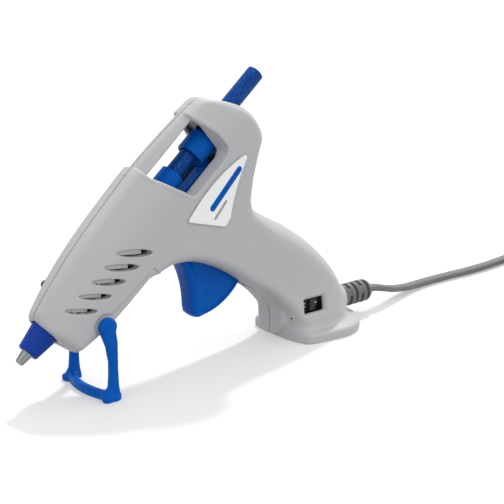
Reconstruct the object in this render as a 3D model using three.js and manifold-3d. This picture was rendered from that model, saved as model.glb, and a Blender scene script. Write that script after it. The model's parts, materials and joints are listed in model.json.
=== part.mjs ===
// A small corded hot-glue gun for 7 mm sticks, standing on its handle foot and on its folding front stand.
// Millimetres, +Z up. The nozzle points to -X and down, the cord leaves towards +X, and Y = 0 is the seam
// between the two casing halves. The origin is on the floor, in the middle of the gun's length.
import * as THREE from "three";
import { mergeVertices } from "three/addons/utils/BufferGeometryUtils.js";
import Module from "manifold-3d";

const wasm = await Module();
wasm.setup();

// ---- Driving dimensions -------------------------------------------------------------------------------

const GAP = 0.3; // between pieces that touch
const SIDES = 16; // facets round a turned piece

// The barrel has its own frame: x runs back along the stick from the nozzle tip, z points at the spine.
const BARREL_TILT = THREE.MathUtils.degToRad(40.8);
const NOZZLE_TIP_X = -87.6;
const NOZZLE_TIP_Z = 17.6;

const BODY_HALF_WIDTH = 12.8;
const WALL = 2.3;
const SEAM_GAP = 0.15; // each half stops this far from the middle plane
const NOSE_S = 14.3; // front face of the casing, along the barrel
const BACK_S = 128.2; // rear face of the casing, along the barrel

const STICK_R = 3.5;
const STICK_FRONT_S = 31;
const STICK_BACK_S = 144.4;
const STICK_BORE_R = 3.9;

const CHAMBER_R = 6.6;
const CHAMBER_FRONT_S = 10.4;
const CHAMBER_BACK_S = 70;
const SLEEVE_R = 4.8;
const SLEEVE_BACK_S = 90.5;
const CARRIAGE_R = 5.8;
const CARRIAGE_FRONT_S = 100.5;
const CARRIAGE_BACK_S = 109.5;

const WINDOW_FLOOR_N = -5.5; // lower edge of the through window
const STRUT_N = 11.3; // underside of the spine strut over the window
const STRUT_HALF_WIDTH = 5.6;

const TRIGGER_PIVOT = new THREE.Vector2(-16, 49.5); // X, Z
const TRIGGER_PAD_HALF_WIDTH = 4.6;
const TRIGGER_PLATE_HALF_WIDTH = 3.9;
const DRIVE_PIN_S = 84.5;
const DRIVE_PIN_N = -10.2;
const PIN_R = 1.5;

const STAND_PIVOT_S = 28.9;
const STAND_PIVOT_N = -10.7;
const STAND_INNER_Y = 12.3;
const STAND_OUTER_Y = 15.0;

const FOOT_HEIGHT = 4.5;
const FOOT_R = 20.3;
const FOOT_CENTRE_X = 54.7;
const FOOT_FRONT_X = 32;

const RELIEF_X = 70.7; // where the ribbed sleeve leaves the casing
const RELIEF_TIP_X = 87.6;
const RELIEF_Z = 10;
const RELIEF_R = 5.1;

const SWITCH_WINDOW = { x0: 37.6, x1: 48.6, z0: 11.8, z1: 18 };

const CORD_WIDTH = 5.4;
const CORD_THICK = 3.2;

// The spare cord, folded into a long flat hank. x and y are the centre of its nearer fold.
const HANK = { x: 223, y: -11.4, z: 0.95, run: 64, innerR: 13.6, columns: 2, rows: 3 };

// Screws that hold the halves together: X and Z in the gun's frame.
const CASE_SCREWS = [
  atBarrel(66, -13.6),
  atBarrel(114.8, 7),
  atBarrel(117, -13),
  new THREE.Vector2(37, 33),
  new THREE.Vector2(58.5, 21),
];
const BOSS_R = 2.6; // round the screw's thread, in the left half
const HEAD_BOSS_R = 4; // round the screw's head, in the right half

const FRONT_RING_S = 24.2;
const REAR_RING_S = 62.8;
const LEAD_Y = 8.6; // heater leads pass the rear rib this far from the middle plane

// ---- Colours ------------------------------------------------------------------------------------------

const CASING = { color: 0xb2b3b4, roughness: 0.55, metalness: 0 };
const BLUE = { color: 0x0a52b0, roughness: 0.4, metalness: 0 };
const SILICONE = { color: 0x163f9f, roughness: 0.5, metalness: 0 };
const GLITTER = { color: 0x10307c, roughness: 0.2, metalness: 0.2 };
const NICKEL = { color: 0xc8c8c6, roughness: 0.2, metalness: 1 };
const STEEL = { color: 0xa8aaac, roughness: 0.35, metalness: 1 };
const ALUMINIUM = { color: 0xb9bbbd, roughness: 0.45, metalness: 1 };
const CERAMIC = { color: 0xe6e2d8, roughness: 0.7, metalness: 0 };
const RESIN = { color: 0x4a3c32, roughness: 0.7, metalness: 0 };
const BLACK = { color: 0x1b1b1d, roughness: 0.45, metalness: 0 };
const LABEL = { color: 0xe2e3e4, roughness: 0.35, metalness: 0.1 };
const LENS = { color: 0x1d2226, roughness: 0.1, metalness: 0 };
const GREY_RUBBER = { color: 0x7c7e80, roughness: 0.6, metalness: 0 };
const LEAD_SLEEVE = { color: 0xd8d4c8, roughness: 0.6, metalness: 0 };

// ---- Frames and solids --------------------------------------------------------------------------------

function barrelMatrix() {
  return new THREE.Matrix4().makeRotationY(-BARREL_TILT).setPosition(NOZZLE_TIP_X, 0, NOZZLE_TIP_Z);
}

// The point at (s, n) of the barrel's frame as X and Z of the gun's frame.
function atBarrel(s, n) {
  return new THREE.Vector2(
    NOZZLE_TIP_X + s * Math.cos(BARREL_TILT) - n * Math.sin(BARREL_TILT),
    NOZZLE_TIP_Z + s * Math.sin(BARREL_TILT) + n * Math.cos(BARREL_TILT),
  );
}

function solid(geometry) {
  const bare = geometry.clone();
  bare.deleteAttribute("normal");
  bare.deleteAttribute("uv");
  const merged = mergeVertices(bare, 1e-4);
  return new wasm.Manifold(
    new wasm.Mesh({
      numProp: 3,
      vertProperties: new Float32Array(merged.attributes.position.array),
      triVerts: new Uint32Array(merged.index.array),
    }),
  );
}

function geometryOf(manifold) {
  const made = manifold.getMesh();
  const geometry = new THREE.BufferGeometry();
  geometry.setAttribute("position", new THREE.BufferAttribute(new Float32Array(made.vertProperties), 3));
  geometry.setIndex(new THREE.BufferAttribute(new Uint32Array(made.triVerts), 1));
  const faceted = geometry.toNonIndexed();
  faceted.computeVertexNormals();
  return faceted;
}

function joined(first, ...rest) {
  return rest.reduce((sum, next) => sum.add(next), first);
}

function cut(body, ...tools) {
  return tools.reduce((left, tool) => left.subtract(tool), body);
}

function largest(body) {
  return body.decompose().reduce((best, next) => (next.volume() > best.volume() ? next : best));
}

function inBarrel(geometry) {
  return geometry.clone().applyMatrix4(barrelMatrix());
}

// The outline moved inwards by distance. Points that would end up nearer to the old outline are left out.
function insetOutline(points, distance) {
  const count = points.length;
  const turn = THREE.ShapeUtils.isClockWise(points) ? -1 : 1;
  const edges = points.map((p, i) => new THREE.Line3(flat(p), flat(points[(i + 1) % count])));
  const nearest = new THREE.Vector3();
  const clearOf = (edge, p) => edge.closestPointToPoint(flat(p), true, nearest).distanceTo(flat(p));
  const moved = points.map((p, i) => {
    const before = p.clone().sub(points[(i + count - 1) % count]).normalize();
    const after = points[(i + 1) % count].clone().sub(p).normalize();
    const along = before.clone().add(after).normalize();
    const mitre = distance / Math.max(0.5, along.dot(after));
    return new THREE.Vector2(p.x - turn * along.y * mitre, p.y + turn * along.x * mitre);
  });
  const kept = moved.filter((p) => edges.every((edge) => clearOf(edge, p) > 0.998 * distance));
  const shortest = 0.18 * distance;
  return kept.filter((p, i) => p.distanceTo(kept[(i + 1) % kept.length]) > shortest);
}

function flat(p) {
  return new THREE.Vector3(p.x, p.y, 0);
}

// A side outline in (X, Z), made into a slab across Y from yLow to yHigh. round eases its two rims:
// depth is how far the rounding runs along Y, and size how far it pulls the outline in.
function slab(shape, yLow, yHigh, round = null, inset = 0, curveSegments = 10) {
  const depth = round ? yHigh - yLow - 2 * round.depth : yHigh - yLow;
  const points = shape.getPoints(curveSegments);
  if (points[0].distanceTo(points[points.length - 1]) < 1e-6) points.pop();
  const contour = round ? insetOutline(points, round.size + inset) : points;
  const geometry = new THREE.ExtrudeGeometry(new THREE.Shape(contour), {
    depth,
    bevelEnabled: Boolean(round),
    bevelThickness: round ? round.depth : 0,
    bevelSize: round ? round.size : 0,
    bevelSegments: round ? round.segments : 0,
  });
  geometry.rotateX(Math.PI / 2);
  geometry.translate(0, (yLow + yHigh) / 2 + depth / 2, 0);
  return geometry;
}

// A plan outline in (X, Y), made into a plate from zLow to zHigh.
function plate(shape, zLow, zHigh, round = 0, curveSegments = 16) {
  const geometry = new THREE.ExtrudeGeometry(shape, {
    depth: zHigh - zLow - 2 * round,
    curveSegments,
    bevelEnabled: round > 0,
    bevelThickness: round,
    bevelSize: round,
    bevelOffset: -round,
    bevelSegments: 2,
  });
  geometry.translate(0, 0, zLow + round);
  return geometry;
}

// A profile of [along, radius] pairs turned round the X axis. It ends on the axis, or closes on itself.
function turned(profile, sides = SIDES) {
  const points = profile.map(([along, radius]) => new THREE.Vector2(radius, along));
  if (THREE.ShapeUtils.isClockWise(points)) points.reverse();
  if (points[0].x > 0 || points[points.length - 1].x > 0) points.push(points[0].clone());
  return new THREE.LatheGeometry(points, sides).rotateZ(-Math.PI / 2);
}

// A round bar across Y at (x, z).
function crossBar(x, z, radius, yLow, yHigh, sides = 16) {
  return new THREE.CylinderGeometry(radius, radius, yHigh - yLow, sides).translate(x, (yLow + yHigh) / 2, z);
}

function block(x0, x1, y0, y1, z0, z1) {
  const box = new THREE.BoxGeometry(x1 - x0, y1 - y0, z1 - z0);
  return box.translate((x0 + x1) / 2, (y0 + y1) / 2, (z0 + z1) / 2);
}

function mirrored(geometry) {
  const whole = geometry.index ? geometry.toNonIndexed() : geometry.clone();
  const flipped = whole.applyMatrix4(new THREE.Matrix4().makeScale(1, -1, 1));
  const position = flipped.attributes.position;
  for (let i = 0; i < position.count; i += 3) {
    const swap = new THREE.Vector3().fromBufferAttribute(position, i + 1);
    const last = new THREE.Vector3().fromBufferAttribute(position, i + 2);
    position.setXYZ(i + 1, last.x, last.y, last.z);
    position.setXYZ(i + 2, swap.x, swap.y, swap.z);
  }
  return flipped;
}

function polygon(points) {
  return new THREE.Shape(points.map(([x, y]) => new THREE.Vector2(x, y)));
}

function smooth(points, steps) {
  return new THREE.SplineCurve(points).getPoints(steps);
}

function mesh(name, shape, look) {
  const geometry = shape instanceof wasm.Manifold ? geometryOf(shape) : shape;
  const made = new THREE.Mesh(geometry, new THREE.MeshStandardMaterial(look));
  made.name = name;
  return made;
}

// ---- Casing -------------------------------------------------------------------------------------------

// The side outline of barrel, neck and handle together, in (X, Z).
function bodyOutline() {
  const spine = smooth(
    [
      atBarrel(NOSE_S, 6.2),
      atBarrel(16.4, 8.1),
      atBarrel(21, 9.3),
      atBarrel(28, 10.8),
      atBarrel(41, 13),
      atBarrel(57, 14.6),
      atBarrel(76, 15.9),
    ],
    12,
  );
  const strut = [atBarrel(85, 15.9), atBarrel(108, 14.6)];
  const crown = smooth(
    [
      atBarrel(115, 14),
      atBarrel(118, 13),
      atBarrel(121, 9.7),
      atBarrel(124.5, 4.5),
      atBarrel(127, -0.6),
      atBarrel(BACK_S, -5.5),
    ],
    9,
  );
  const rear = smooth(
    [
      atBarrel(BACK_S, -10),
      atBarrel(126.9, -14.2),
      atBarrel(124.6, -16.8),
      atBarrel(121.2, -18.5),
      atBarrel(116.7, -21),
      atBarrel(111.6, -24.2),
      new THREE.Vector2(11.9, 66.5),
      new THREE.Vector2(11.7, 63.3),
      new THREE.Vector2(13.2, 60.2),
    ],
    17,
  );
  const back = smooth(
    [
      new THREE.Vector2(16.6, 58.3),
      new THREE.Vector2(22, 55.3),
      new THREE.Vector2(33, 49.5),
      new THREE.Vector2(46, 40.5),
      new THREE.Vector2(57, 30),
      new THREE.Vector2(64.5, 19.5),
      new THREE.Vector2(69.5, 8),
      new THREE.Vector2(70, -8),
    ],
    14,
  );
  const front = smooth(
    [
      new THREE.Vector2(32.8, -8),
      new THREE.Vector2(32.6, 3),
      new THREE.Vector2(30.8, 10),
      new THREE.Vector2(26.6, 16.5),
      new THREE.Vector2(20, 23.2),
      new THREE.Vector2(10.5, 29.3),
      new THREE.Vector2(2, 35.3),
      new THREE.Vector2(-8, 40.7),
      new THREE.Vector2(-18, 43.9),
      new THREE.Vector2(-27, 44.2),
    ],
    20,
  );
  const under = [atBarrel(53, -14), atBarrel(40, -13.6), atBarrel(25, -12.9), atBarrel(18, -12.3)];
  const nose = [atBarrel(15.2, -11), atBarrel(NOSE_S, -8.5)];
  return new THREE.Shape([...spine, ...strut, ...crown, ...rear, ...back, ...front, ...under, ...nose]);
}

// The spine's height along the barrel, which its flanks follow.
const SPINE_LINE = [
  [4, 4.4],
  [17, 8.3],
  [28, 10.8],
  [54, 14.3],
  [78, 15.9],
  [108, 14.6],
  [119, 12.8],
  [140, 10],
];

// The part of the cross-section that the sloping flanks take away on one side, between two stations.
function flankPiece([s0, n0], [s1, n1], lower) {
  const section = polygon([
    [4, 0.5 - lower],
    [7.6, -3.2 - lower],
    [11, -8.2 - lower],
    [12.9, -14 - lower],
    [16, -14 - lower],
    [16, 14],
    [4, 14],
  ]);
  const geometry = new THREE.ExtrudeGeometry(section, { depth: s1 - s0, bevelEnabled: false });
  const along = new THREE.Vector3(1, 0, (n1 - n0) / (s1 - s0));
  const basis = new THREE.Matrix4().makeBasis(new THREE.Vector3(0, 1, 0), new THREE.Vector3(0, 0, 1), along);
  return inBarrel(geometry.applyMatrix4(basis.setPosition(s0, 0, n0)));
}

function withoutFlanks(body, lower) {
  const sides = SPINE_LINE.slice(1).map((next, i) => flankPiece(SPINE_LINE[i], next, lower));
  return cut(body, ...sides.flatMap((side) => [solid(side), solid(mirrored(side))]));
}

// The widened foot: a half disc behind, tapering to a straight front with round corners.
function footOutline() {
  const startAngle = THREE.MathUtils.degToRad(100);
  const rim = [];
  const steps = 24;
  for (let i = 0; i <= steps; i++) {
    const angle = startAngle - (i / steps) * 2 * startAngle;
    rim.push(new THREE.Vector2(FOOT_CENTRE_X + FOOT_R * Math.cos(angle), FOOT_R * Math.sin(angle)));
  }
  const corner = smooth(
    [new THREE.Vector2(39, -18.4), new THREE.Vector2(34.3, -16.6), new THREE.Vector2(FOOT_FRONT_X, -11.5)],
    5,
  );
  const otherCorner = corner.map((p) => new THREE.Vector2(p.x, -p.y)).reverse();
  return new THREE.Shape([...rim, ...corner, ...otherCorner]);
}

function casingOuter() {
  const rounding = { depth: 6.5, size: 4.6, segments: 3 };
  const body = solid(slab(bodyOutline(), -BODY_HALF_WIDTH, BODY_HALF_WIDTH, rounding));
  const foot = solid(plate(footOutline(), 0, FOOT_HEIGHT, 0.8));
  const cordBoss = solid(turned([[58, 0], [58, 6.4], [RELIEF_X - GAP, 5.8], [RELIEF_X - GAP, 0]]));
  const latchBump = polygon([[56, -12], [56.4, -16], [57.6, -16.4], [58.8, -12]]);
  const above = withoutFlanks(body, 0).intersect(solid(block(-200, 200, -50, 50, 0.4, 200)));
  return joined(above, foot, cordBoss.translate([0, 0, RELIEF_Z]), solid(inBarrel(slab(latchBump, -3, 3))));
}

function casingInner() {
  const rounding = { depth: 4.6, size: 3.2, segments: 2 };
  const half = BODY_HALF_WIDTH - WALL;
  const hollow = withoutFlanks(solid(slab(bodyOutline(), -half, half, rounding, WALL)), WALL * 1.2);
  return hollow.intersect(solid(block(-200, 200, -50, 50, WALL, 200)));
}

// The through window between the strut and the lower side wall.
function windowCut() {
  const opening = polygon([
    [79.5, 13.9],
    [82.5, 5],
    [85.5, -2],
    [87.5, WINDOW_FLOOR_N],
    [106, WINDOW_FLOOR_N],
    [108.6, -3],
    [108.8, 13.9],
  ]);
  return solid(inBarrel(slab(opening, -20, 20)));
}

// The strut is what stays of the spine over the window.
function strut() {
  const outline = polygon([
    [74, STRUT_N],
    [112, STRUT_N],
    [112, 13.9],
    [108, 14.4],
    [85, 15.8],
    [74, 15.6],
  ]);
  const rounding = { depth: 2.4, size: 1.6, segments: 2 };
  return solid(inBarrel(slab(outline, -STRUT_HALF_WIDTH, STRUT_HALF_WIDTH, rounding)));
}

// Five horizontal slots on each side, longer and higher towards the back.
function ventCuts() {
  const count = 5;
  const cuts = [];
  for (let i = 0; i < count; i++) {
    const t = i / (count - 1);
    const length = THREE.MathUtils.lerp(11, 14.7, t);
    const height = THREE.MathUtils.lerp(2, 2.8, t);
    const x = THREE.MathUtils.lerp(-67.5, -45, t);
    const z = THREE.MathUtils.lerp(35.5, 53, t);
    const ellipse = new THREE.Shape();
    ellipse.absellipse(0, 0, length / 2, height / 2, 0, Math.PI * 2);
    cuts.push(solid(slab(ellipse, -20, 20, null, 0, 8).translate(x, 0, z)));
  }
  return cuts;
}

// Plates across the hollow that hold the chamber rings and guide the stick.
function casingRibs() {
  const ringHole = 8.7;
  const ribs = [
    { s: FRONT_RING_S + 1.2, holeR: ringHole },
    { s: REAR_RING_S + 1.2, holeR: ringHole },
    { s: 111.2, holeR: 4.3 },
  ];
  const leadHoles = [-1, 1].map((side) => {
    const y = side * LEAD_Y;
    return solid(inBarrel(block(60, 69, y - 1.3, y + 1.3, -8.9, -6.3)));
  });
  return ribs.map(({ s, holeR }) => {
    const wall = solid(inBarrel(block(s, s + 1.6, -20, 20, -24, 24)));
    return cut(wall, atBarrelRound([[s - 1, holeR], [s + 3, holeR]]), ...leadHoles);
  });
}

function triggerPivotBosses() {
  const side = crossBar(TRIGGER_PIVOT.x, TRIGGER_PIVOT.y, 3.4, 8.1, 11.5);
  return [solid(side), solid(mirrored(side))];
}

function screwBosses() {
  return CASE_SCREWS.flatMap((p) => [
    solid(crossBar(p.x, p.y, BOSS_R, -11, 0.5, 12)),
    solid(crossBar(p.x, p.y, HEAD_BOSS_R, 0, 11, 12)),
  ]);
}

// Room for the trigger to pass through the lower wall and to swing inside.
function triggerSlot() {
  const around = polygon([
    [-22.4, 38],
    [-22.4, 46],
    [-20.4, 52],
    [-8, 52],
    [14, 39],
    [21.5, 31],
    [19, 22],
    [5, 20],
  ]);
  return solid(slab(around, -5.1, 5.1));
}

function reliefBore() {
  const profile = [[55, 0], [55, 3], [63.6, 3], [63.6, 5.6], [66.6, 5.6], [66.6, 4], [75, 4], [75, 0]];
  return solid(turned(profile)).translate([0, 0, RELIEF_Z]);
}

// Shallow seats in both sides for the stand's round ends and for its legs as they fold back.
function standRecess() {
  const seat = new THREE.Shape();
  const pivot = atBarrel(STAND_PIVOT_S, STAND_PIVOT_N);
  const seatR = 4.4;
  seat.absarc(pivot.x, pivot.y, seatR, THREE.MathUtils.degToRad(140), THREE.MathUtils.degToRad(400), false);
  const swept = polygon([
    atBarrel(STAND_PIVOT_S, STAND_PIVOT_N + seatR).toArray(),
    atBarrel(46, -9).toArray(),
    atBarrel(60, -9.6).toArray(),
    atBarrel(60, -18).toArray(),
    atBarrel(STAND_PIVOT_S, -18).toArray(),
  ]);
  const depth = STAND_INNER_Y - GAP;
  const sides = [slab(seat, depth, 20, null, 0, 14), slab(swept, depth, 20)];
  return sides.flatMap((side) => [solid(side), solid(mirrored(side))]);
}

function bothShells() {
  const guideSeat = atBarrelRound([[116.4, 7.9], [124, 7.9]]);
  const inside = joined(guideSeat, ...casingRibs(), ...triggerPivotBosses(), ...screwBosses());
  const noseSteps = [[10, 5.7], [19.5, 5.7], [19.5, 6.9], [24, 6.9], [24, 8.7], [28.6, 8.7]];
  const rearSteps = [[111, 4.4], [118.2, 4.4], [118.2, 6.5], [121, 6.5], [121, 4.4], [140, 4.4]];
  const standHole = crossBar(...atBarrel(STAND_PIVOT_S, STAND_PIVOT_N).toArray(), 1.8, -20, 20);
  const hollow = cut(casingOuter(), casingInner().subtract(inside));
  const open = cut(hollow, windowCut()).add(strut());
  return cut(
    open,
    ...ventCuts(),
    ...standRecess(),
    atBarrelRound(noseSteps),
    atBarrelRound(rearSteps),
    solid(standHole),
    triggerSlot(),
    reliefBore(),
    solid(crossBar(TRIGGER_PIVOT.x, TRIGGER_PIVOT.y, PIN_R + GAP, -10.6, 10.6)),
  );
}

// A round tool along the stick axis, from [s, radius] pairs.
function atBarrelRound(steps) {
  const [first] = steps[0];
  const [last] = steps[steps.length - 1];
  return solid(inBarrel(turned([[first, 0], ...steps, [last, 0]])));
}

function leftShell() {
  const half = bothShells().intersect(solid(block(-120, 120, -30, -SEAM_GAP, -5, 130)));
  const { x0, x1, z0, z1 } = SWITCH_WINDOW;
  const switchHole = solid(block(x0, x1, -20, -9, z0, z1));
  const sliderRoom = solid(block(x0 - 4.5, x1 + 4.5, -10.4, -5, z0 - 1.5, z1 + 1.5));
  const pilots = CASE_SCREWS.map((p) => solid(crossBar(p.x, p.y, 1.4, -9.5, 1)));
  return largest(cut(half, switchHole, sliderRoom, ...pilots));
}

function rightShell() {
  const half = bothShells().intersect(solid(block(-120, 120, SEAM_GAP, 30, -5, 130)));
  const lens = solid(crossBar(...LENS_AT, LENS_R + GAP, 5, 20));
  const holes = CASE_SCREWS.flatMap((p) => [
    solid(crossBar(p.x, p.y, 1.6, -1, 20)),
    solid(crossBar(p.x, p.y, 3, 5.2, 20)),
  ]);
  return largest(cut(half, lens, ...holes));
}

const LENS_R = 1.9;
const LENS_AT = atBarrel(28.5, 6.6).toArray();

function indicatorLens() {
  return joined(
    solid(crossBar(...LENS_AT, LENS_R, 7.3, 9.6)),
    solid(crossBar(...LENS_AT, LENS_R * 0.7, 9.2, 10.2)),
  );
}

function caseScrew(p) {
  const shank = crossBar(p.x, p.y, 1.1, -8.5, 5.7, 10);
  const head = crossBar(p.x, p.y, 2.6, 5.5, 7.6, 16);
  return joined(solid(shank), solid(head));
}

// ---- Heating and feeding, in the barrel's frame ---------------------------------------------------------

function nozzleTip() {
  return turned([[0, 0.9], [0, 1.35], [0.5, 1.6], [4.4, 2.2], [4.4, 2.7], [10.1, 2.7], [10.1, 0.9]]);
}

function nozzleCone() {
  const outside = [[4.7, 3.6], [5.2, 4.0], [14.2, 5.4], [20.2, 5.4]];
  const inside = [[20.2, 4.0], [10.4, 4.0], [10.4, 3.0], [4.7, 3.0]];
  return turned([...outside, ...inside]);
}

function meltChamber() {
  const profile = [[CHAMBER_FRONT_S, 1], [CHAMBER_FRONT_S, 3.6], [20.5, 3.6], [20.5, CHAMBER_R]];
  const finR = CHAMBER_R + 1;
  const fins = [30, 33, 36];
  for (const s of fins) profile.push([s, CHAMBER_R], [s, finR], [s + 1, finR], [s + 1, CHAMBER_R]);
  profile.push([CHAMBER_BACK_S, CHAMBER_R], [CHAMBER_BACK_S, STICK_BORE_R], [18, STICK_BORE_R], [13, 1]);
  return turned(profile);
}

function mountRing(s) {
  return turned([[s, CHAMBER_R + GAP], [s, 8.4], [s + 4, 8.4], [s + 4, CHAMBER_R + GAP]]);
}

function heaterPlate() {
  return block(40, 58, -3.6, 3.6, -CHAMBER_R - GAP - 1.9, -CHAMBER_R - GAP);
}

// A sprung band round the chamber and the plate under it, open at the top.
function heaterClip() {
  const r = CHAMBER_R;
  const bandOuter = [[4.4, -9.8], [r + 0.9, -3], [r + 0.9, 3], [4, r - 0.2]];
  const bandInner = [[3.2, r - 0.2], [r + 0.35, 2.9], [r + 0.35, -2.8], [4, -9.15]];
  const rightSide = [...bandOuter, ...bandInner];
  const leftSide = rightSide.map(([y, n]) => [-y, n]).reverse();
  const section = polygon([...rightSide, ...leftSide]);
  const geometry = new THREE.ExtrudeGeometry(section, { depth: 12, bevelEnabled: false });
  const basis = new THREE.Matrix4().makeBasis(
    new THREE.Vector3(0, 1, 0),
    new THREE.Vector3(0, 0, 1),
    new THREE.Vector3(1, 0, 0),
  );
  const core = turned([[42, 0], [42, r + 0.28], [58, r + 0.28], [58, 0]]);
  return cut(solid(geometry.applyMatrix4(basis).translate(43, 0, 0)), solid(core));
}

function feedSleeve() {
  const back = CHAMBER_BACK_S + GAP;
  return turned([
    [back, STICK_BORE_R],
    [back, 6.2],
    [back + 2.5, 6.2],
    [back + 2.5, SLEEVE_R],
    [SLEEVE_BACK_S, SLEEVE_R],
    [SLEEVE_BACK_S, STICK_BORE_R],
  ]);
}

// The collar that grips the stick, and the bar that reaches forward to the trigger's fork.
function feedCarriage() {
  const front = CARRIAGE_FRONT_S;
  const back = CARRIAGE_BACK_S;
  const collar = solid(
    turned([[front, 0], [front, CARRIAGE_R - 0.4], [front + 0.5, CARRIAGE_R], [back, CARRIAGE_R], [back, 0]]),
  ).translate([0, 0, -0.8]);
  const bar = solid(block(81.2, front + 2, -2.6, 2.6, -9, -5.2));
  const lug = solid(
    slab(polygon([[81.2, -6], [81.6, -12.6], [83, -14], [86, -14], [87.4, -12.6], [87.8, -6]]), -2.6, 2.6),
  );
  const boreR = STICK_BORE_R;
  const bore = solid(turned([[front - 1, 0], [front - 1, boreR], [back + 1, boreR], [back + 1, 0]]));
  const slot = new THREE.Shape();
  const slotR = PIN_R + 0.25;
  slot.absarc(DRIVE_PIN_S, DRIVE_PIN_N + 3.1, slotR, 0, Math.PI, false);
  slot.absarc(DRIVE_PIN_S, DRIVE_PIN_N - 0.4, slotR, Math.PI, Math.PI * 2, false);
  return cut(joined(collar, bar, lug), bore, solid(slab(slot, -5, 5, null, 0, 8)));
}

function glueStick() {
  return turned([
    [STICK_FRONT_S, 0],
    [STICK_FRONT_S, STICK_R - 0.8],
    [STICK_FRONT_S + 1.2, STICK_R],
    [STICK_BACK_S, STICK_R],
    [STICK_BACK_S, 0],
  ]);
}

function stickGuide() {
  return turned([[118.5, STICK_BORE_R], [118.5, 6.2], [120.7, 6.2], [120.7, STICK_BORE_R]]);
}

// ---- Trigger ------------------------------------------------------------------------------------------

const TRIGGER_ROOT = new THREE.Vector2(-19.6, 44.6);

function triggerFront() {
  return smooth(
    [TRIGGER_ROOT, new THREE.Vector2(-16, 37.5), new THREE.Vector2(-14, 30), new THREE.Vector2(-13.3, 22.5)],
    6,
  );
}

function triggerPlate() {
  const centre = new THREE.Vector2(-12.2, 46.9); // centre of the round lower edge
  const arcR = 27.6;
  const lower = [];
  const from = THREE.MathUtils.degToRad(-88);
  const to = THREE.MathUtils.degToRad(-30);
  const steps = 9;
  for (let i = 0; i <= steps; i++) {
    const angle = THREE.MathUtils.lerp(from, to, i / steps);
    lower.push(new THREE.Vector2(centre.x + arcR * Math.cos(angle), centre.y + arcR * Math.sin(angle)));
  }
  const top = [new THREE.Vector2(9.2, 36.5), new THREE.Vector2(-9, 46.6), new THREE.Vector2(-16, 47.6)];
  return new THREE.Shape([...triggerFront(), new THREE.Vector2(-12.7, 20.4), ...lower, ...top]);
}

function triggerPad() {
  const front = triggerFront();
  const back = front.map((p) => new THREE.Vector2(p.x + 4.2, p.y - 0.4)).reverse();
  return new THREE.Shape([...front, new THREE.Vector2(-12.2, 18.9), new THREE.Vector2(-8.8, 18.8), ...back]);
}

// Two arms that rise from the hub on both sides of the carriage's lug, with a round eye for the drive pin.
function triggerArm() {
  const pin = atBarrel(DRIVE_PIN_S, DRIVE_PIN_N);
  const reach = pin.clone().sub(TRIGGER_PIVOT);
  const across = new THREE.Vector2(-reach.y, reach.x).normalize();
  const eyeR = 3.2;
  const facing = across.angle();
  const arm = new THREE.Shape();
  arm.moveTo(...TRIGGER_PIVOT.clone().addScaledVector(across, 3.4).toArray());
  arm.lineTo(...TRIGGER_PIVOT.clone().addScaledVector(across, -3.4).toArray());
  arm.absarc(pin.x, pin.y, eyeR, facing - Math.PI, facing, false);
  return arm;
}

function trigger() {
  const rounded = { depth: 1.6, size: 1.4, segments: 2 };
  const padHalf = TRIGGER_PAD_HALF_WIDTH;
  const plateHalf = TRIGGER_PLATE_HALF_WIDTH;
  const hub = solid(crossBar(TRIGGER_PIVOT.x, TRIGGER_PIVOT.y, 4, -5, 5));
  const arm = slab(triggerArm(), 3.1, 5, null, 0, 8);
  const pin = atBarrel(DRIVE_PIN_S, DRIVE_PIN_N);
  const body = joined(
    solid(slab(triggerPlate(), -plateHalf, plateHalf)),
    solid(slab(triggerPad(), -padHalf, padHalf, rounded)),
    hub,
    solid(arm),
    solid(mirrored(arm)),
  );
  return cut(
    body,
    solid(crossBar(TRIGGER_PIVOT.x, TRIGGER_PIVOT.y, PIN_R + GAP, -8, 8)),
    solid(crossBar(pin.x, pin.y, PIN_R + GAP, -8, 8)),
  );
}

function returnSpring() {
  const from = SPRING_FRONT;
  const to = SPRING_BACK;
  const length = from.distanceTo(to);
  const turns = 8;
  const points = [];
  const steps = turns * 7;
  for (let i = 0; i <= steps; i++) {
    const t = i / steps;
    const angle = t * turns * Math.PI * 2;
    points.push(new THREE.Vector3(t * length, 1.9 * Math.cos(angle), 1.9 * Math.sin(angle)));
  }
  const path = new THREE.CatmullRomCurve3(points);
  const wire = new THREE.Shape();
  wire.absarc(0, 0, 0.35, 0, Math.PI * 2, false);
  const geometry = new THREE.ExtrudeGeometry(wire, { steps, curveSegments: 3, extrudePath: path });
  const turn = Math.atan2(to.y - from.y, to.x - from.x);
  return geometry.rotateY(-turn).translate(from.x, 0, from.y);
}

const SPRING_FRONT = atBarrel(88.7, -11.5);
const SPRING_BACK = atBarrel(110.5, -12.6);

// ---- Stand --------------------------------------------------------------------------------------------

function standLeg() {
  const pivot = atBarrel(STAND_PIVOT_S, STAND_PIVOT_N);
  const x = pivot.x;
  const outline = new THREE.Shape();
  outline.moveTo(x + 3.6, pivot.y);
  outline.absarc(x, pivot.y, 3.6, 0, Math.PI, false);
  outline.lineTo(x - 3.4, pivot.y - 3);
  outline.lineTo(x - 0.6, 14.5);
  outline.lineTo(x - 0.9, 12);
  outline.lineTo(x - 1.2, 4);
  outline.lineTo(x - 2.8, 2.2);
  outline.lineTo(x - 2.8, 0);
  outline.lineTo(x + 3.4, 0);
  outline.lineTo(x + 3.8, 3);
  return outline;
}

function standFoot(x) {
  const pad = polygon([[x - 2.8, STAND_INNER_Y], [x + 4, STAND_INNER_Y], [x + 4, 16.3], [x - 2.8, 16.3]]);
  return plate(pad, 0, 2.4, 0.6);
}

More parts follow.
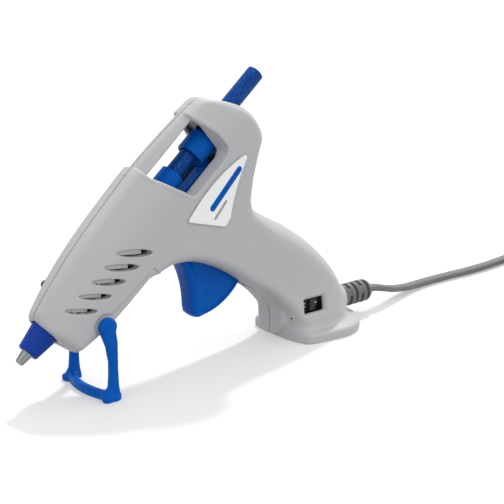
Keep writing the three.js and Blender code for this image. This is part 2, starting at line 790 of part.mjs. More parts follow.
// The crossbar between the feet, bowed forward.
function standBar(x) {
  const bow = 2.6;
  const half = STAND_INNER_Y + 1.2;
  const steps = 10;
  const outerEdge = [];
  for (let i = 0; i <= steps; i++) {
    const y = THREE.MathUtils.lerp(-half, half, i / steps);
    const forward = bow * (1 - (y / half) ** 2);
    outerEdge.push(new THREE.Vector2(x - 1.6 - forward, y));
  }
  const innerEdge = outerEdge.map((p) => new THREE.Vector2(p.x + 2.7, p.y)).reverse();
  return plate(new THREE.Shape([...outerEdge, ...innerEdge]), 0, 3.4, 0.5);
}

function stand() {
  const pivot = atBarrel(STAND_PIVOT_S, STAND_PIVOT_N);
  const rounding = { depth: 0.7, size: 0.7, segments: 2 };
  const leg = slab(standLeg(), STAND_INNER_Y, STAND_OUTER_Y, rounding);
  const stub = crossBar(pivot.x, pivot.y, 1.4, 9.7, STAND_INNER_Y + 1);
  const foot = standFoot(pivot.x);
  return joined(
    solid(standBar(pivot.x)),
    ...[leg, stub, foot].flatMap((piece) => [solid(piece), solid(mirrored(piece))]),
  );
}

// ---- Handle -------------------------------------------------------------------------------------------

function temperatureSlider() {
  const { x0, x1, z0, z1 } = SWITCH_WINDOW;
  const middle = (x0 + x1) / 2;
  const base = solid(block(x0 - 2.6, x1 + 2.6, -10.1, -8.9, z0 - 0.9, z1 + 0.9));
  const thumb = solid(block(middle - 1.4, middle + 1.4, -11.9, -10, z0 + 0.4, z1 - 0.4));
  return joined(base, thumb);
}

function switchBody() {
  const { x0, x1, z0, z1 } = SWITCH_WINDOW;
  return block(x0 - 1.5, x1 + 1.5, -8.5, -2.5, z0 - 1, z1 + 1);
}

function strainRelief() {
  const profile = [[54.5, 0], [54.5, 2.6], [64, 2.6], [64, 5.2], [66.2, 5.2], [66.2, 3.6], [RELIEF_X, 3.6]];
  const ribs = 4;
  const pitch = (RELIEF_TIP_X - RELIEF_X - 1) / ribs;
  for (let i = 0; i < ribs; i++) {
    const s = RELIEF_X + i * pitch;
    profile.push([s, RELIEF_R - 0.3], [s + pitch * 0.55, RELIEF_R], [s + pitch * 0.62, RELIEF_R - 1.3]);
    profile.push([s + pitch * 0.98, RELIEF_R - 1.3]);
  }
  profile.push([RELIEF_TIP_X - 1, RELIEF_R - 0.4], [RELIEF_TIP_X, RELIEF_R - 1.4], [RELIEF_TIP_X, 0]);
  return turned(profile).translate(0, 0, RELIEF_Z);
}

// The bridge that presses the cord's inner end on the casing, with its two screws.
const CLAMP_X = 60;

function cordClamp() {
  const bridge = solid(block(CLAMP_X - 2.4, CLAMP_X + 2.4, 3, 6.6, RELIEF_Z - 6.9, RELIEF_Z + 6.9));
  const holes = [-1, 1].map((side) => solid(crossBar(CLAMP_X, RELIEF_Z + side * 5, 1.3, 0, 9, 12)));
  return cut(bridge, ...holes);
}

function clampScrew(side) {
  const z = RELIEF_Z + side * 5;
  return joined(solid(crossBar(CLAMP_X, z, 1, 2.4, 7.5, 10)), solid(crossBar(CLAMP_X, z, 1.8, 6.9, 8.3, 12)));
}

// An insulated wire from the handle along the back of the casing to the heating plate.
function heaterLead(side) {
  const y = side * 7.2;
  const route = [
    new THREE.Vector3(51, y * 0.55, 25.5),
    new THREE.Vector3(46, y, 33.5),
    new THREE.Vector3(30, y, 45),
    new THREE.Vector3(14, y * 1.15, 55),
    barrelPoint(88, side * LEAD_Y, -16.5),
    barrelPoint(76, side * LEAD_Y, -9.5),
    barrelPoint(67, side * LEAD_Y, -7.6),
    barrelPoint(62, side * LEAD_Y, -7.6),
    barrelPoint(58.7, side * 5, -7.9),
  ];
  const wire = new THREE.Shape();
  wire.absarc(0, 0, 0.8, 0, Math.PI * 2, false);
  const path = new THREE.CatmullRomCurve3(route);
  return new THREE.ExtrudeGeometry(wire, { steps: 22, curveSegments: 3, extrudePath: path });
}

function barrelPoint(s, y, n) {
  const p = atBarrel(s, n);
  return new THREE.Vector3(p.x, y, p.y);
}

// A plate with one round edge on the side of the neck.
function labelPlate(yLow, yHigh) {
  const shape = new THREE.Shape();
  shape.moveTo(...atBarrel(78.2, -10.3).toArray());
  shape.quadraticCurveTo(...atBarrel(97, -6.4).toArray(), ...atBarrel(113.6, -11.5).toArray());
  shape.lineTo(...atBarrel(113.8, -12.8).toArray());
  shape.quadraticCurveTo(...atBarrel(100.5, -18).toArray(), ...atBarrel(92.5, -24.5).toArray());
  shape.lineTo(...atBarrel(88.6, -25.3).toArray());
  return slab(shape, yLow, yHigh, null, 0, 8);
}

// ---- Cord ---------------------------------------------------------------------------------------------

// The cord falls from the relief to the floor and runs along it to the hank.
const CORD_ROUTE = [
  [RELIEF_TIP_X + GAP, 0, RELIEF_Z],
  [92, 0.1, 9.8],
  [98, 0.6, 8.3],
  [106, 2.2, 5.9],
  [116, 4.6, 3.7],
  [126, 6.6, 2.4],
  [139, 7.8, 1.9],
  [154, 7.4, 1.9],
  [168, 6.6, 1.9],
  [184, 6.8, 1.9],
  [199, 8.2, 1.9],
  [204.5, 9.2, 1.9],
];

// From the top of the hank up to the plug.
const TAIL_ROUTE = [
  [224, 5, 13.2],
  [231, 4.5, 14.1],
  [239, 2.5, 15.2],
  [248, -0.7, 16.5],
  [258, -4.4, 17.6],
];

function cordTube(route, steps) {
  const path = new THREE.CatmullRomCurve3(route.map((p) => new THREE.Vector3(...p)));
  const section = new THREE.Shape();
  section.absellipse(0, 0, CORD_WIDTH / 2, CORD_THICK / 2, 0, Math.PI * 2);
  return new THREE.ExtrudeGeometry(section, { steps, curveSegments: 5, extrudePath: path });
}

// The outer shape of all the turns together.
function cordHank() {
  const outline = roundEnded(HANK.innerR + hankWidth());
  outline.holes.push(roundEnded(HANK.innerR));
  return plate(outline, HANK.z, HANK.z + hankHeight());
}

function roundEnded(radius) {
  const shape = new THREE.Shape();
  shape.absarc(HANK.x + HANK.run, HANK.y, radius, -Math.PI / 2, Math.PI / 2);
  shape.absarc(HANK.x, HANK.y, radius, Math.PI / 2, Math.PI * 1.5);
  return shape;
}

function hankWidth() {
  return HANK.columns * (CORD_WIDTH + 0.2);
}

function hankHeight() {
  return HANK.rows * (CORD_THICK + 0.2);
}

// A strap round one side of the hank.
function cordTie() {
  const wall = 0.6;
  const x = HANK.x + 20;
  const low = HANK.y - HANK.innerR - hankWidth() - GAP;
  const high = HANK.y - HANK.innerR + GAP;
  const bottom = HANK.z - GAP;
  const top = HANK.z + hankHeight() + GAP;
  const outside = solid(block(x - 3, x + 3, low - wall, high + wall, bottom - wall, top + wall));
  return cut(outside, solid(block(x - 4, x + 4, low, high, bottom, top)));
}

// A flat two-pin plug that lies on the hank. Its own frame: x runs from the cord's end to the pins.
const PLUG = { length: 31, halfWidth: 17.5, halfThick: 6.5, pinLength: 19, pinR: 2, pinSpacing: 18.6 };
const PLUG_TURN = THREE.MathUtils.degToRad(-18);

function inPlug(geometry) {
  const z = HANK.z + hankHeight() + GAP + PLUG.halfThick;
  const [x, y] = TAIL_ROUTE[TAIL_ROUTE.length - 1];
  const clear = 0.6;
  const turn = new THREE.Matrix4().makeRotationZ(PLUG_TURN);
  turn.setPosition(x + clear * Math.cos(PLUG_TURN), y + clear * Math.sin(PLUG_TURN), z);
  return geometry.applyMatrix4(turn);
}

function plugBody() {
  const { length, halfWidth, halfThick } = PLUG;
  const side = [[0, 4.5], [11, 8.5], [23, halfWidth], [length, halfWidth]];
  const otherSide = side.map(([x, y]) => [x, -y]).reverse();
  return inPlug(plate(polygon([...otherSide, ...side]), -halfThick, halfThick, 1.5));
}

function plugPin(side) {
  const { length, pinLength, pinR, pinSpacing } = PLUG;
  const profile = [[0, 0], [0, pinR], [pinLength - 0.6, pinR], [pinLength, pinR - 0.6], [pinLength, 0]];
  return inPlug(turned(profile, 12).translate(length + GAP, (side * pinSpacing) / 2, 0));
}

export const root = new THREE.Group();
const barrel = new THREE.Group();
barrel.rotation.y = -BARREL_TILT;
barrel.position.set(NOZZLE_TIP_X, 0, NOZZLE_TIP_Z);
root.add(barrel);

root.add(mesh("left_shell", leftShell(), CASING));
root.add(mesh("right_shell", rightShell(), CASING));
root.add(mesh("indicator_lens", indicatorLens(), LENS));
CASE_SCREWS.forEach((p, i) => root.add(mesh(`case_screw_${i + 1}`, caseScrew(p), STEEL)));

barrel.add(mesh("nozzle_tip", nozzleTip(), NICKEL));
barrel.add(mesh("nozzle_cone", nozzleCone(), SILICONE));
barrel.add(mesh("melt_chamber", meltChamber(), ALUMINIUM));
barrel.add(mesh("front_mount_ring", mountRing(FRONT_RING_S), RESIN));
barrel.add(mesh("rear_mount_ring", mountRing(REAR_RING_S), RESIN));
barrel.add(mesh("heater_plate", heaterPlate(), CERAMIC));
barrel.add(mesh("heater_clip", heaterClip(), STEEL));
barrel.add(mesh("feed_sleeve", feedSleeve(), BLUE));
barrel.add(mesh("feed_carriage", feedCarriage(), BLUE));
barrel.add(mesh("glue_stick", glueStick(), GLITTER));
barrel.add(mesh("stick_guide", stickGuide(), RESIN));

root.add(mesh("trigger", trigger(), BLUE));
root.add(mesh("return_spring", returnSpring(), STEEL));
root.add(mesh("trigger_pin", crossBar(TRIGGER_PIVOT.x, TRIGGER_PIVOT.y, PIN_R, -10.3, 10.3), STEEL));
const drive = atBarrel(DRIVE_PIN_S, DRIVE_PIN_N);
root.add(mesh("drive_pin", crossBar(drive.x, drive.y, PIN_R, -6, 6), STEEL));
root.add(mesh("stand", stand(), BLUE));

root.add(mesh("temperature_slider", temperatureSlider(), BLACK));
root.add(mesh("switch_body", switchBody(), BLACK));
root.add(mesh("strain_relief", strainRelief(), GREY_RUBBER));
root.add(mesh("cord_clamp", cordClamp(), BLACK));
root.add(mesh("clamp_screw_1", clampScrew(-1), STEEL));
root.add(mesh("clamp_screw_2", clampScrew(1), STEEL));
root.add(mesh("heater_lead_1", heaterLead(-1), LEAD_SLEEVE));
root.add(mesh("heater_lead_2", heaterLead(1), LEAD_SLEEVE));
const labelY = BODY_HALF_WIDTH + GAP;
root.add(mesh("label_plate_left", labelPlate(-labelY - 0.5, -labelY), LABEL));
root.add(mesh("label_plate_right", labelPlate(labelY, labelY + 0.5), LABEL));

root.add(mesh("cord", cordTube(CORD_ROUTE, 28), GREY_RUBBER));
root.add(mesh("cord_hank", cordHank(), GREY_RUBBER));
root.add(mesh("cord_tail", cordTube(TAIL_ROUTE, 8), GREY_RUBBER));
root.add(mesh("cord_tie", cordTie(), BLACK));
root.add(mesh("plug_body", plugBody(), GREY_RUBBER));
root.add(mesh("plug_pin_1", plugPin(-1), NICKEL));
root.add(mesh("plug_pin_2", plugPin(1), NICKEL));

export default root;
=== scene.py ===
"""A small corded hot-glue gun: its camera, light, materials and detailed pieces over the CAD frame.

Shapes are built in millimetres in the CAD's own frame. Most plastic pieces are distance fields: a function
gives the signed distance to the surface, a net of quads is laid over it, and its corners are drawn onto it.
"""

import json
import math

import bmesh
import bpy
import numpy as np
from mathutils import Matrix, Vector


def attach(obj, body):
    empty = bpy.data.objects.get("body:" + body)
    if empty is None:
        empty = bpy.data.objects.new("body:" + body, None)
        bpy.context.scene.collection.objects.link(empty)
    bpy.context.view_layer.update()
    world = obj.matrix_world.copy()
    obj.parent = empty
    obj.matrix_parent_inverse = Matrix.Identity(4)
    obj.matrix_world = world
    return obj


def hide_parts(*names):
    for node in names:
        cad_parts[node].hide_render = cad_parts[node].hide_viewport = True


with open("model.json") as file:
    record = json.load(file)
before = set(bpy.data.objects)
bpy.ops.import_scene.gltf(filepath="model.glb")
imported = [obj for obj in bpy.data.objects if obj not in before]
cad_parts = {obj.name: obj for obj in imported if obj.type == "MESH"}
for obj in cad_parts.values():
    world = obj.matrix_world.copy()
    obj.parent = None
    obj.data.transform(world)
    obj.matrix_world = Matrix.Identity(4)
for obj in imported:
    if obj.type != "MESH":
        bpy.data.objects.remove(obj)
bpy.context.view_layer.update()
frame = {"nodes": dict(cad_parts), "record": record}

MM = 0.001
SHELL_STEP = 0.42
FINE = 1.0

# ---- Frames ---------------------------------------------------------------------------------------------

TILT = math.radians(40.8)
COS, SIN = math.cos(TILT), math.sin(TILT)
TIP_X, TIP_Z = -87.6, 17.6


def from_barrel(s, n):
    """The point s along the stick and n towards the spine, as x and z."""
    return TIP_X + s * COS - n * SIN, TIP_Z + s * SIN + n * COS


def to_barrel(x, z):
    return (x - TIP_X) * COS + (z - TIP_Z) * SIN, (z - TIP_Z) * COS - (x - TIP_X) * SIN


BARREL = Matrix.Translation((TIP_X, 0, TIP_Z)) @ Matrix.Rotation(-TILT, 4, "Y")

# ---- Camera ---------------------------------------------------------------------------------------------

CAMERA_AT = (-258.16, -331.47, 159.37)
CAMERA_LENS = 78.57
VIEW_AZIMUTH, VIEW_ELEVATION = math.radians(-40), math.radians(15.5)


def linked(name, data):
    """A new object with this data, linked to the scene."""
    made = bpy.data.objects.new(name, data)
    bpy.context.scene.collection.objects.link(made)
    return made


def add_camera():
    data = bpy.data.cameras.new("camera")
    data.sensor_width = 36
    data.lens = CAMERA_LENS
    data.clip_start = 0.01
    data.clip_end = 20
    camera = linked("camera", data)
    level = math.cos(VIEW_ELEVATION)
    back = Vector((math.sin(VIEW_AZIMUTH) * level, -math.cos(VIEW_AZIMUTH) * level, math.sin(VIEW_ELEVATION)))
    camera.location = Vector(CAMERA_AT) * MM
    camera.rotation_mode = "QUATERNION"
    camera.rotation_quaternion = (-back).to_track_quat("-Z", "Y")
    bpy.context.scene.camera = camera


# ---- Meshes ---------------------------------------------------------------------------------------------


def object_from(name, vertices, faces, normals=None):
    """A smooth-shaded mesh object from millimetres."""
    data = bpy.data.meshes.new(name)
    data.from_pydata((np.asarray(vertices, float) * MM).tolist(), [], faces)
    data.polygons.foreach_set("use_smooth", np.ones(len(data.polygons), bool))
    data.update()
    if normals is not None:
        data.normals_split_custom_set_from_vertices(np.asarray(normals, float).tolist())
    return linked(name, data)


def object_of(name, mesh):
    """A smooth-shaded mesh object from a bmesh, which is freed."""
    for f in mesh.faces:
        f.smooth = True
    data = bpy.data.meshes.new(name)
    mesh.to_mesh(data)
    mesh.free()
    return linked(name, data)


def in_metres(place):
    """The same place, with its shift in metres."""
    return Matrix.Translation(place.translation * MM) @ place.to_3x3().to_4x4()


def piece(made, body, slot_name, replaced, *materials):
    """Gives the object its materials, its body and the CAD nodes it stands for."""
    for m in materials:
        made.data.materials.append(m)
    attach(made, body)
    if replaced:
        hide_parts(*replaced)
    return made


def from_axis(u, v):
    """The distance from an axis, given the offsets along the two directions across it."""
    return np.sqrt(u * u + v * v)


def smooth_max(a, b, k):
    """The larger of two distances, blended where they differ by less than k."""
    h = np.maximum(k - np.abs(a - b), 0) / k
    return np.maximum(a, b) + h * h * k * 0.25


def smooth_min(a, b, k):
    return -smooth_max(-a, -b, k)


def ramp(low, high, value):
    """A smooth step from 0 at low to 1 at high, whichever of the two is the larger."""
    t = np.clip((value - low) / (high - low), 0, 1)
    return t * t * (3 - 2 * t)


def rounded(d, a, b, across, half):
    """The shape with outline distance d and |across| < half, its edge an ellipse a wide and b deep."""
    u = np.maximum((d + a) / a, 0)
    v = np.maximum((across - half + b) / b, 0)
    r = from_axis(u, v) + 1e-9
    steep = np.sqrt((u / a) ** 2 + (v / b) ** 2) + 1e-9
    box = np.maximum(d, across - half)
    return np.where((u > 0) | (v > 0), np.maximum((r - 1) * r / steep, box), box)


def spline(points, steps):
    """Points along a smooth curve through the given ones."""
    p = np.asarray(points, float)
    count = len(p)
    out = []
    for i in range(steps + 1):
        t = (count - 1) * i / steps
        k = min(int(t), count - 1)
        w = t - k
        a, b = p[max(k - 1, 0)], p[k]
        c, d = p[min(k + 1, count - 1)], p[min(k + 2, count - 1)]
        v0, v1 = (c - a) / 2, (d - b) / 2
        out.append((2 * b - 2 * c + v0 + v1) * w**3 + (-3 * b + 3 * c - 2 * v0 - v1) * w**2 + v0 * w + b)
    return np.array(out)


def polygon_distance(u, v, points):
    """Signed distance to a closed outline, negative inside."""
    a = np.asarray(points, float)
    a = a[np.linalg.norm(a - np.roll(a, -1, 0), axis=1) > 1e-6]
    pu, pv = u.ravel(), v.ravel()
    best = np.full(pu.shape, 1e18)
    inside = np.zeros(pu.shape, bool)
    for (au, av), (bu, bv) in zip(a, np.roll(a, -1, 0)):
        eu, ev = bu - au, bv - av
        wu, wv = pu - au, pv - av
        t = np.clip((wu * eu + wv * ev) / (eu * eu + ev * ev), 0, 1)
        du, dv = wu - eu * t, wv - ev * t
        best = np.minimum(best, du * du + dv * dv)
        if ev != 0:
            inside ^= ((av > pv) != (bv > pv)) & (wu < eu * wv / ev)
    return np.where(inside, -1, 1).reshape(u.shape) * np.sqrt(best).reshape(u.shape)


class Outline:
    """The signed distance to a closed outline, kept on a fine grid and read back as a smooth surface."""

    def __init__(self, points, step=0.4, margin=6):
        p = np.asarray(points, float)
        near = p[(np.abs(p) < 150).all(axis=1)]
        self.step = step
        self.low = near.min(0) - margin
        shape = np.ceil((near.max(0) + margin - self.low) / step).astype(int) + 1
        u = self.low[0] + step * np.arange(shape[0])
        v = self.low[1] + step * np.arange(shape[1])
        self.values = polygon_distance(*np.meshgrid(u, v, indexing="ij"), p)

    def __call__(self, u, v):
        fu = (u - self.low[0]) / self.step
        fv = (v - self.low[1]) / self.step
        iu = np.clip(np.floor(fu).astype(int), 1, self.values.shape[0] - 3)
        iv = np.clip(np.floor(fv).astype(int), 1, self.values.shape[1] - 3)
        wu = self.weights(np.clip(fu - iu, 0, 1))
        wv = self.weights(np.clip(fv - iv, 0, 1))
        total = 0
        for i in range(4):
            for j in range(4):
                total = total + wu[i] * wv[j] * self.values[iu + i - 1, iv + j - 1]
        return total

    @staticmethod
    def weights(t):
        """The four weights of a cubic B-spline."""
        before, after = (1 - t) ** 3 / 6, t**3 / 6
        return before, (3 * t**3 - 6 * t**2 + 4) / 6, (-3 * t**3 + 3 * t**2 + 3 * t + 1) / 6, after


def net(field, xs, ys, zs):
    """Quads over the surface where field is 0, on a grid whose lines may be unevenly spaced."""
    f = field(xs[:, None, None], ys[None, :, None], zs[None, None, :])
    f = np.broadcast_to(f, (len(xs), len(ys), len(zs)))
    inside = f < 0
    lines = (xs, ys, zs)
    ends = ((0, -1), (1, None))
    corners = [inside[i:p, j:q, k:r] for i, p in ends for j, q in ends for k, r in ends]
    count = sum(c.astype(np.int8) for c in corners)
    cells = np.argwhere((count > 0) & (count < 8))
    number = np.full(count.shape, -1)
    number[tuple(cells.T)] = np.arange(len(cells))
    total, hits = np.zeros((len(cells), 3)), np.zeros(len(cells))
    for axis in range(3):
        others = [a for a in range(3) if a != axis]
        for first in (0, 1):
            for second in (0, 1):
                start = cells.copy()
                start[:, others[0]] += first
                start[:, others[1]] += second
                end = start.copy()
                end[:, axis] += 1
                fa, fb = f[tuple(start.T)], f[tuple(end.T)]
                cross = (fa < 0) != (fb < 0)
                t = np.where(cross, fa / np.where(cross, fa - fb, 1), 0)[:, None]
                pa = np.stack([lines[a][start[:, a]] for a in range(3)], 1)
                pb = np.stack([lines[a][end[:, a]] for a in range(3)], 1)
                total += np.where(cross[:, None], pa + t * (pb - pa), 0)
                hits += cross
    vertices = total / hits[:, None]
    quads = []
    for axis in range(3):
        b, c = (axis + 1) % 3, (axis + 2) % 3
        low = np.take(inside, range(inside.shape[axis] - 1), axis)
        high = np.take(inside, range(1, inside.shape[axis]), axis)
        edges = np.argwhere(low != high)
        keep = (edges[:, b] > 0) & (edges[:, c] > 0)
        keep &= (edges[:, b] < inside.shape[b] - 1) & (edges[:, c] < inside.shape[c] - 1)
        edges = edges[keep]
        around = []
        for db, dc in ((1, 1), (0, 1), (0, 0), (1, 0)):
            cell = edges.copy()
            cell[:, b] -= db
            cell[:, c] -= dc
            around.append(number[tuple(cell.T)])
        quad = np.stack(around, 1)
        outward = low[tuple(edges.T)]
        quads.append(np.where(outward[:, None], quad, quad[:, ::-1]))
    return vertices, np.concatenate(quads)


def slopes(field, p, e=0.04):
    """The gradient of the field at each point, from four samples around it."""
    total = np.zeros_like(p)
    for k in ((1, 1, 1), (1, -1, -1), (-1, 1, -1), (-1, -1, 1)):
        k = np.array(k, float)
        q = p + e * k
        total += field(q[:, 0], q[:, 1], q[:, 2])[:, None] * k
    return total / (4 * e)


def sculpt(name, field, low, high, step, levels=None):
    """The object that fills field < 0 between two corners. levels gives the grid's uneven y lines."""
    xs = np.arange(low[0] - 2 * step, high[0] + 2.5 * step, step)
    ys = levels if levels is not None else np.arange(low[1] - 2 * step, high[1] + 2.5 * step, step)
    zs = np.arange(low[2] - 2 * step, high[2] + 2.5 * step, step)
    vertices, quads = net(field, xs, ys, zs)
    for _ in range(2):
        g = slopes(field, vertices)
        move = (field(*vertices.T) / np.maximum((g * g).sum(1), 0.05))[:, None] * g
        size = np.linalg.norm(move, axis=1, keepdims=True)
        vertices = vertices - move * np.minimum(1, 0.5 * step / np.maximum(size, 1e-9))
    g = slopes(field, vertices)
    normals = g / np.maximum(np.linalg.norm(g, axis=1, keepdims=True), 1e-9)
    return object_from(name, vertices, quads.tolist(), normals)


def eased(profile, radius, steps=4):
    """A profile whose inner corners are rounded."""
    p = [np.array(q, float) for q in profile]
    out = [p[0]]
    for before, here, after in zip(p, p[1:], p[2:]):
        to_before, to_after = before - here, after - here
        reach = min(radius, 0.45 * np.linalg.norm(to_before), 0.45 * np.linalg.norm(to_after))
        a = here + to_before / np.linalg.norm(to_before) * reach
        b = here + to_after / np.linalg.norm(to_after) * reach
        for i in range(steps + 1):
            t = i / steps
            out.append((1 - t) ** 2 * a + 2 * t * (1 - t) * here + t**2 * b)
    out.append(p[-1])
    return out


def lathe(name, profile, radius, place, closed=False, sides=96):
    """Pairs of (along, radius), turned round the local x axis. closed joins the last pair to the first."""
    if closed:
        middle = ((profile[0][0] + profile[-1][0]) / 2, (profile[0][1] + profile[-1][1]) / 2)
        profile = [middle, *profile, middle]
    line = eased(profile, radius)
    mesh = bmesh.new()
    rings = []
    angles = [2 * math.pi * i / sides for i in range(sides)]
    for along, r in line:
        if r < 1e-6:
            rings.append([mesh.verts.new((along * MM, 0, 0))])
            continue
        ring = [(along * MM, r * math.cos(a) * MM, r * math.sin(a) * MM) for a in angles]
        rings.append([mesh.verts.new(p) for p in ring])
    for first, second in zip(rings, rings[1:]):
        for i in range(sides):
            j = (i + 1) % sides
            around = ((first, i), (first, j), (second, j), (second, i))
            corner = list(dict.fromkeys(ring[k % len(ring)] for ring, k in around))
            if len(corner) > 2:
                mesh.faces.new(corner)
    bmesh.ops.remove_doubles(mesh, verts=mesh.verts, dist=1e-7)
    bmesh.ops.recalc_face_normals(mesh, faces=mesh.faces)
    made = object_of(name, mesh)
    made.data.transform(in_metres(place))
    return made


# ---- Materials ------------------------------------------------------------------------------------------


class Nodes:
    """A material and short calls that add nodes to it."""

    def __init__(self, name):
        self.material = bpy.data.materials.new(name)
        self.material.use_nodes = True
        self.tree = self.material.node_tree
        self.shader = self.tree.nodes["Principled BSDF"]
        self.place = self.add("ShaderNodeTexCoord").outputs["Object"]

    def add(self, kind, inputs=None, **settings):
        node = self.tree.nodes.new(kind)
        for key, value in settings.items():
            setattr(node, key, value)
        for key, value in (inputs or {}).items():
            self.link(value, node.inputs[key])
        return node

    def link(self, value, socket):
        if isinstance(value, bpy.types.NodeSocket):
            self.tree.links.new(value, socket)
        else:
            socket.default_value = value

    def noise(self, scale, detail=2.0, rough=0.5):
        inputs = {"Vector": self.place, "Scale": scale, "Detail": detail, "Roughness": rough}
        return self.add("ShaderNodeTexNoise", inputs).outputs["Fac"]

    def between(self, factor, low, high, low_at=0.0, high_at=1.0):
        inputs = {"Value": factor, "From Min": low_at, "From Max": high_at, "To Min": low, "To Max": high}
        return self.add("ShaderNodeMapRange", inputs).outputs["Result"]

    def mixed(self, factor, first, second):
        node = self.add("ShaderNodeMix", data_type="RGBA")
        self.link(factor, node.inputs[0])
        self.link(first, node.inputs[6])
        self.link(second, node.inputs[7])
        return node.outputs[2]

    def set(self, **values):
        for key, value in values.items():
            self.link(value, self.shader.inputs[key.replace("_", " ")])

    def bump(self, height, depth):
        inputs = {"Height": height, "Distance": depth, "Strength": 1.0}
        self.set(Normal=self.add("ShaderNodeBump", inputs).outputs["Normal"])


def colour(r, g, b):
    return (r, g, b, 1.0)


def moulded(name, base, rough, grain=5200, depth=0.00001, spread=0.06, specular=0.5):
    """Moulded plastic: a fine grain, slightly uneven gloss and a faint drift of the colour by spread."""
    n = Nodes(name)
    drift = n.noise(38, 3)
    low = colour(*(c * (1 - spread) for c in base))
    high = colour(*(min(1, c * (1 + spread)) for c in base))
    fine = n.noise(grain, 3, 0.6)
    n.set(Base_Color=n.mixed(n.between(drift, 0, 1, 0.3, 0.7), low, high))
    n.set(Roughness=n.between(n.noise(160, 4), rough - 0.08, rough + 0.08, 0.3, 0.7))
    n.set(Specular_IOR_Level=specular)
    n.bump(fine, depth)
    return n.material


def metal(name, base, rough, grain=1500, depth=0.000004):
    """Metal with fine marks, which make its colour and gloss a little uneven."""
    n = Nodes(name)
    marks = n.noise(grain, 4, 0.6)
    n.set(Base_Color=n.mixed(marks, colour(*(c * 0.9 for c in base)), colour(*base)))
    n.set(Metallic=1.0, Roughness=n.between(marks, rough * 0.7, rough * 1.4))
    n.bump(marks, depth)
    return n.material


def glitter(name):
    """Dark blue glue full of small bright flakes."""
    n = Nodes(name)
    cells = n.add("ShaderNodeTexVoronoi", {"Vector": n.place, "Scale": 2600.0})
    pick = n.add("ShaderNodeSeparateColor", {"Color": cells.outputs["Color"]})
    flake = n.between(pick.outputs["Red"], 0, 1, 0.62, 0.7)
    core = n.between(cells.outputs["Distance"], 1, 0, 0.25, 0.4)
    shine = n.add("ShaderNodeMath", {0: flake, 1: core}, operation="MULTIPLY").outputs[0]
    tone = n.mixed(pick.outputs["Green"], colour(0.0, 0.12, 0.55), colour(0.08, 0.32, 0.85))
    n.set(Base_Color=n.mixed(shine, colour(0.0, 0.038, 0.21), tone))
    n.set(Metallic=n.between(shine, 0, 0.55), Roughness=n.between(shine, 0.32, 0.2))
    n.set(Coat_Weight=0.06, Coat_Roughness=0.1, Specular_IOR_Level=0.08)
    n.bump(n.noise(900, 3), 0.00002)
    return n.material


# ---- Casing ---------------------------------------------------------------------------------------------


def barrel_points(*pairs):
    """Points given along the stick and across it, as (x, z)."""
    return [from_barrel(s, n) for s, n in pairs]


def bow(start, control, end, steps):
    """A quadratic curve between two points of the barrel's frame."""
    a, b, c = (np.array(p, float) for p in (start, control, end))
    t = [i / steps for i in range(steps + 1)]
    return barrel_points(*[tuple((1 - w) ** 2 * a + 2 * w * (1 - w) * b + w * w * c) for w in t])


# The side outline: from the nose over the spine and the crown down the back to the foot, and from the
# handle's front along the underside to the nose again.
SPINE = spline(
    barrel_points((14.3, 6.2), (16.4, 8.1), (21, 9.3), (28, 10.8), (41, 13), (57, 14.6), (76, 15.9)), 40
)
STRUT_EDGE = barrel_points((85, 15.9), (108, 14.6))
CROWN = spline(
    barrel_points((115, 14), (118, 13), (121, 9.7), (124.6, 4.5), (127.4, -0.6), (128.7, -5.5)), 40
)
REAR = spline(
    barrel_points(
        (128.7, -10.2), (127.5, -14.6), (125.2, -17.2), (121.8, -19), (117.3, -21.6), (112.2, -24.8)
    )
    + [(12.5, 66.4), (12.3, 63.3), (13.4, 60.3)],
    60,
)
BACK = spline(
    [(16.6, 58.3), (22, 55.3), (33, 49.5), (46, 40.5), (57, 30), (64.5, 19.5), (69.5, 8), (70, -8)], 60
)
HANDLE_FRONT = spline(
    [(34, -8), (33.8, 3), (32, 10), (27.6, 16.5), (20.4, 23.2), (10.5, 29.3), (2, 35.3), (-8, 40.7)]
    + [(-18, 43.9), (-27, 44.2)],
    80,
)
UNDERSIDE = barrel_points(
    (53, -15.2), (40, -14.9), (30, -14.3), (23, -13), (17, -11.6), (15, -10.4), (14.3, -8.5)
)


def casing_outlines():
    """The upper and rear edge, and the lower and front edge, each closed far away on the other side."""
    upper = [from_barrel(-40, -34.6), *SPINE, *STRUT_EDGE, *CROWN, *REAR, *BACK]
    upper += [(70, -400), (-400, -400), (-400, -60)]
    lower = [*HANDLE_FRONT, *UNDERSIDE, from_barrel(14.3, 60)]
    lower += [(-200, 400), (400, 400), (400, -300), (32.8, -300)]
    return Outline(upper, margin=10), Outline(lower, margin=10)


def foot_outline():
    centre_x, radius, front_x = 54.7, 20.3, 34.2
    start = math.radians(100)
    rim = [start - i / 60 * 2 * start for i in range(61)]
    rim = [(centre_x + radius * math.cos(a), radius * math.sin(a)) for a in rim]
    corner = [tuple(p) for p in spline([(40.4, -18.7), (36, -16.9), (front_x, -11.5)], 12)]
    return Outline([*rim, *corner, *[(x, -y) for x, y in reversed(corner)]], margin=10)


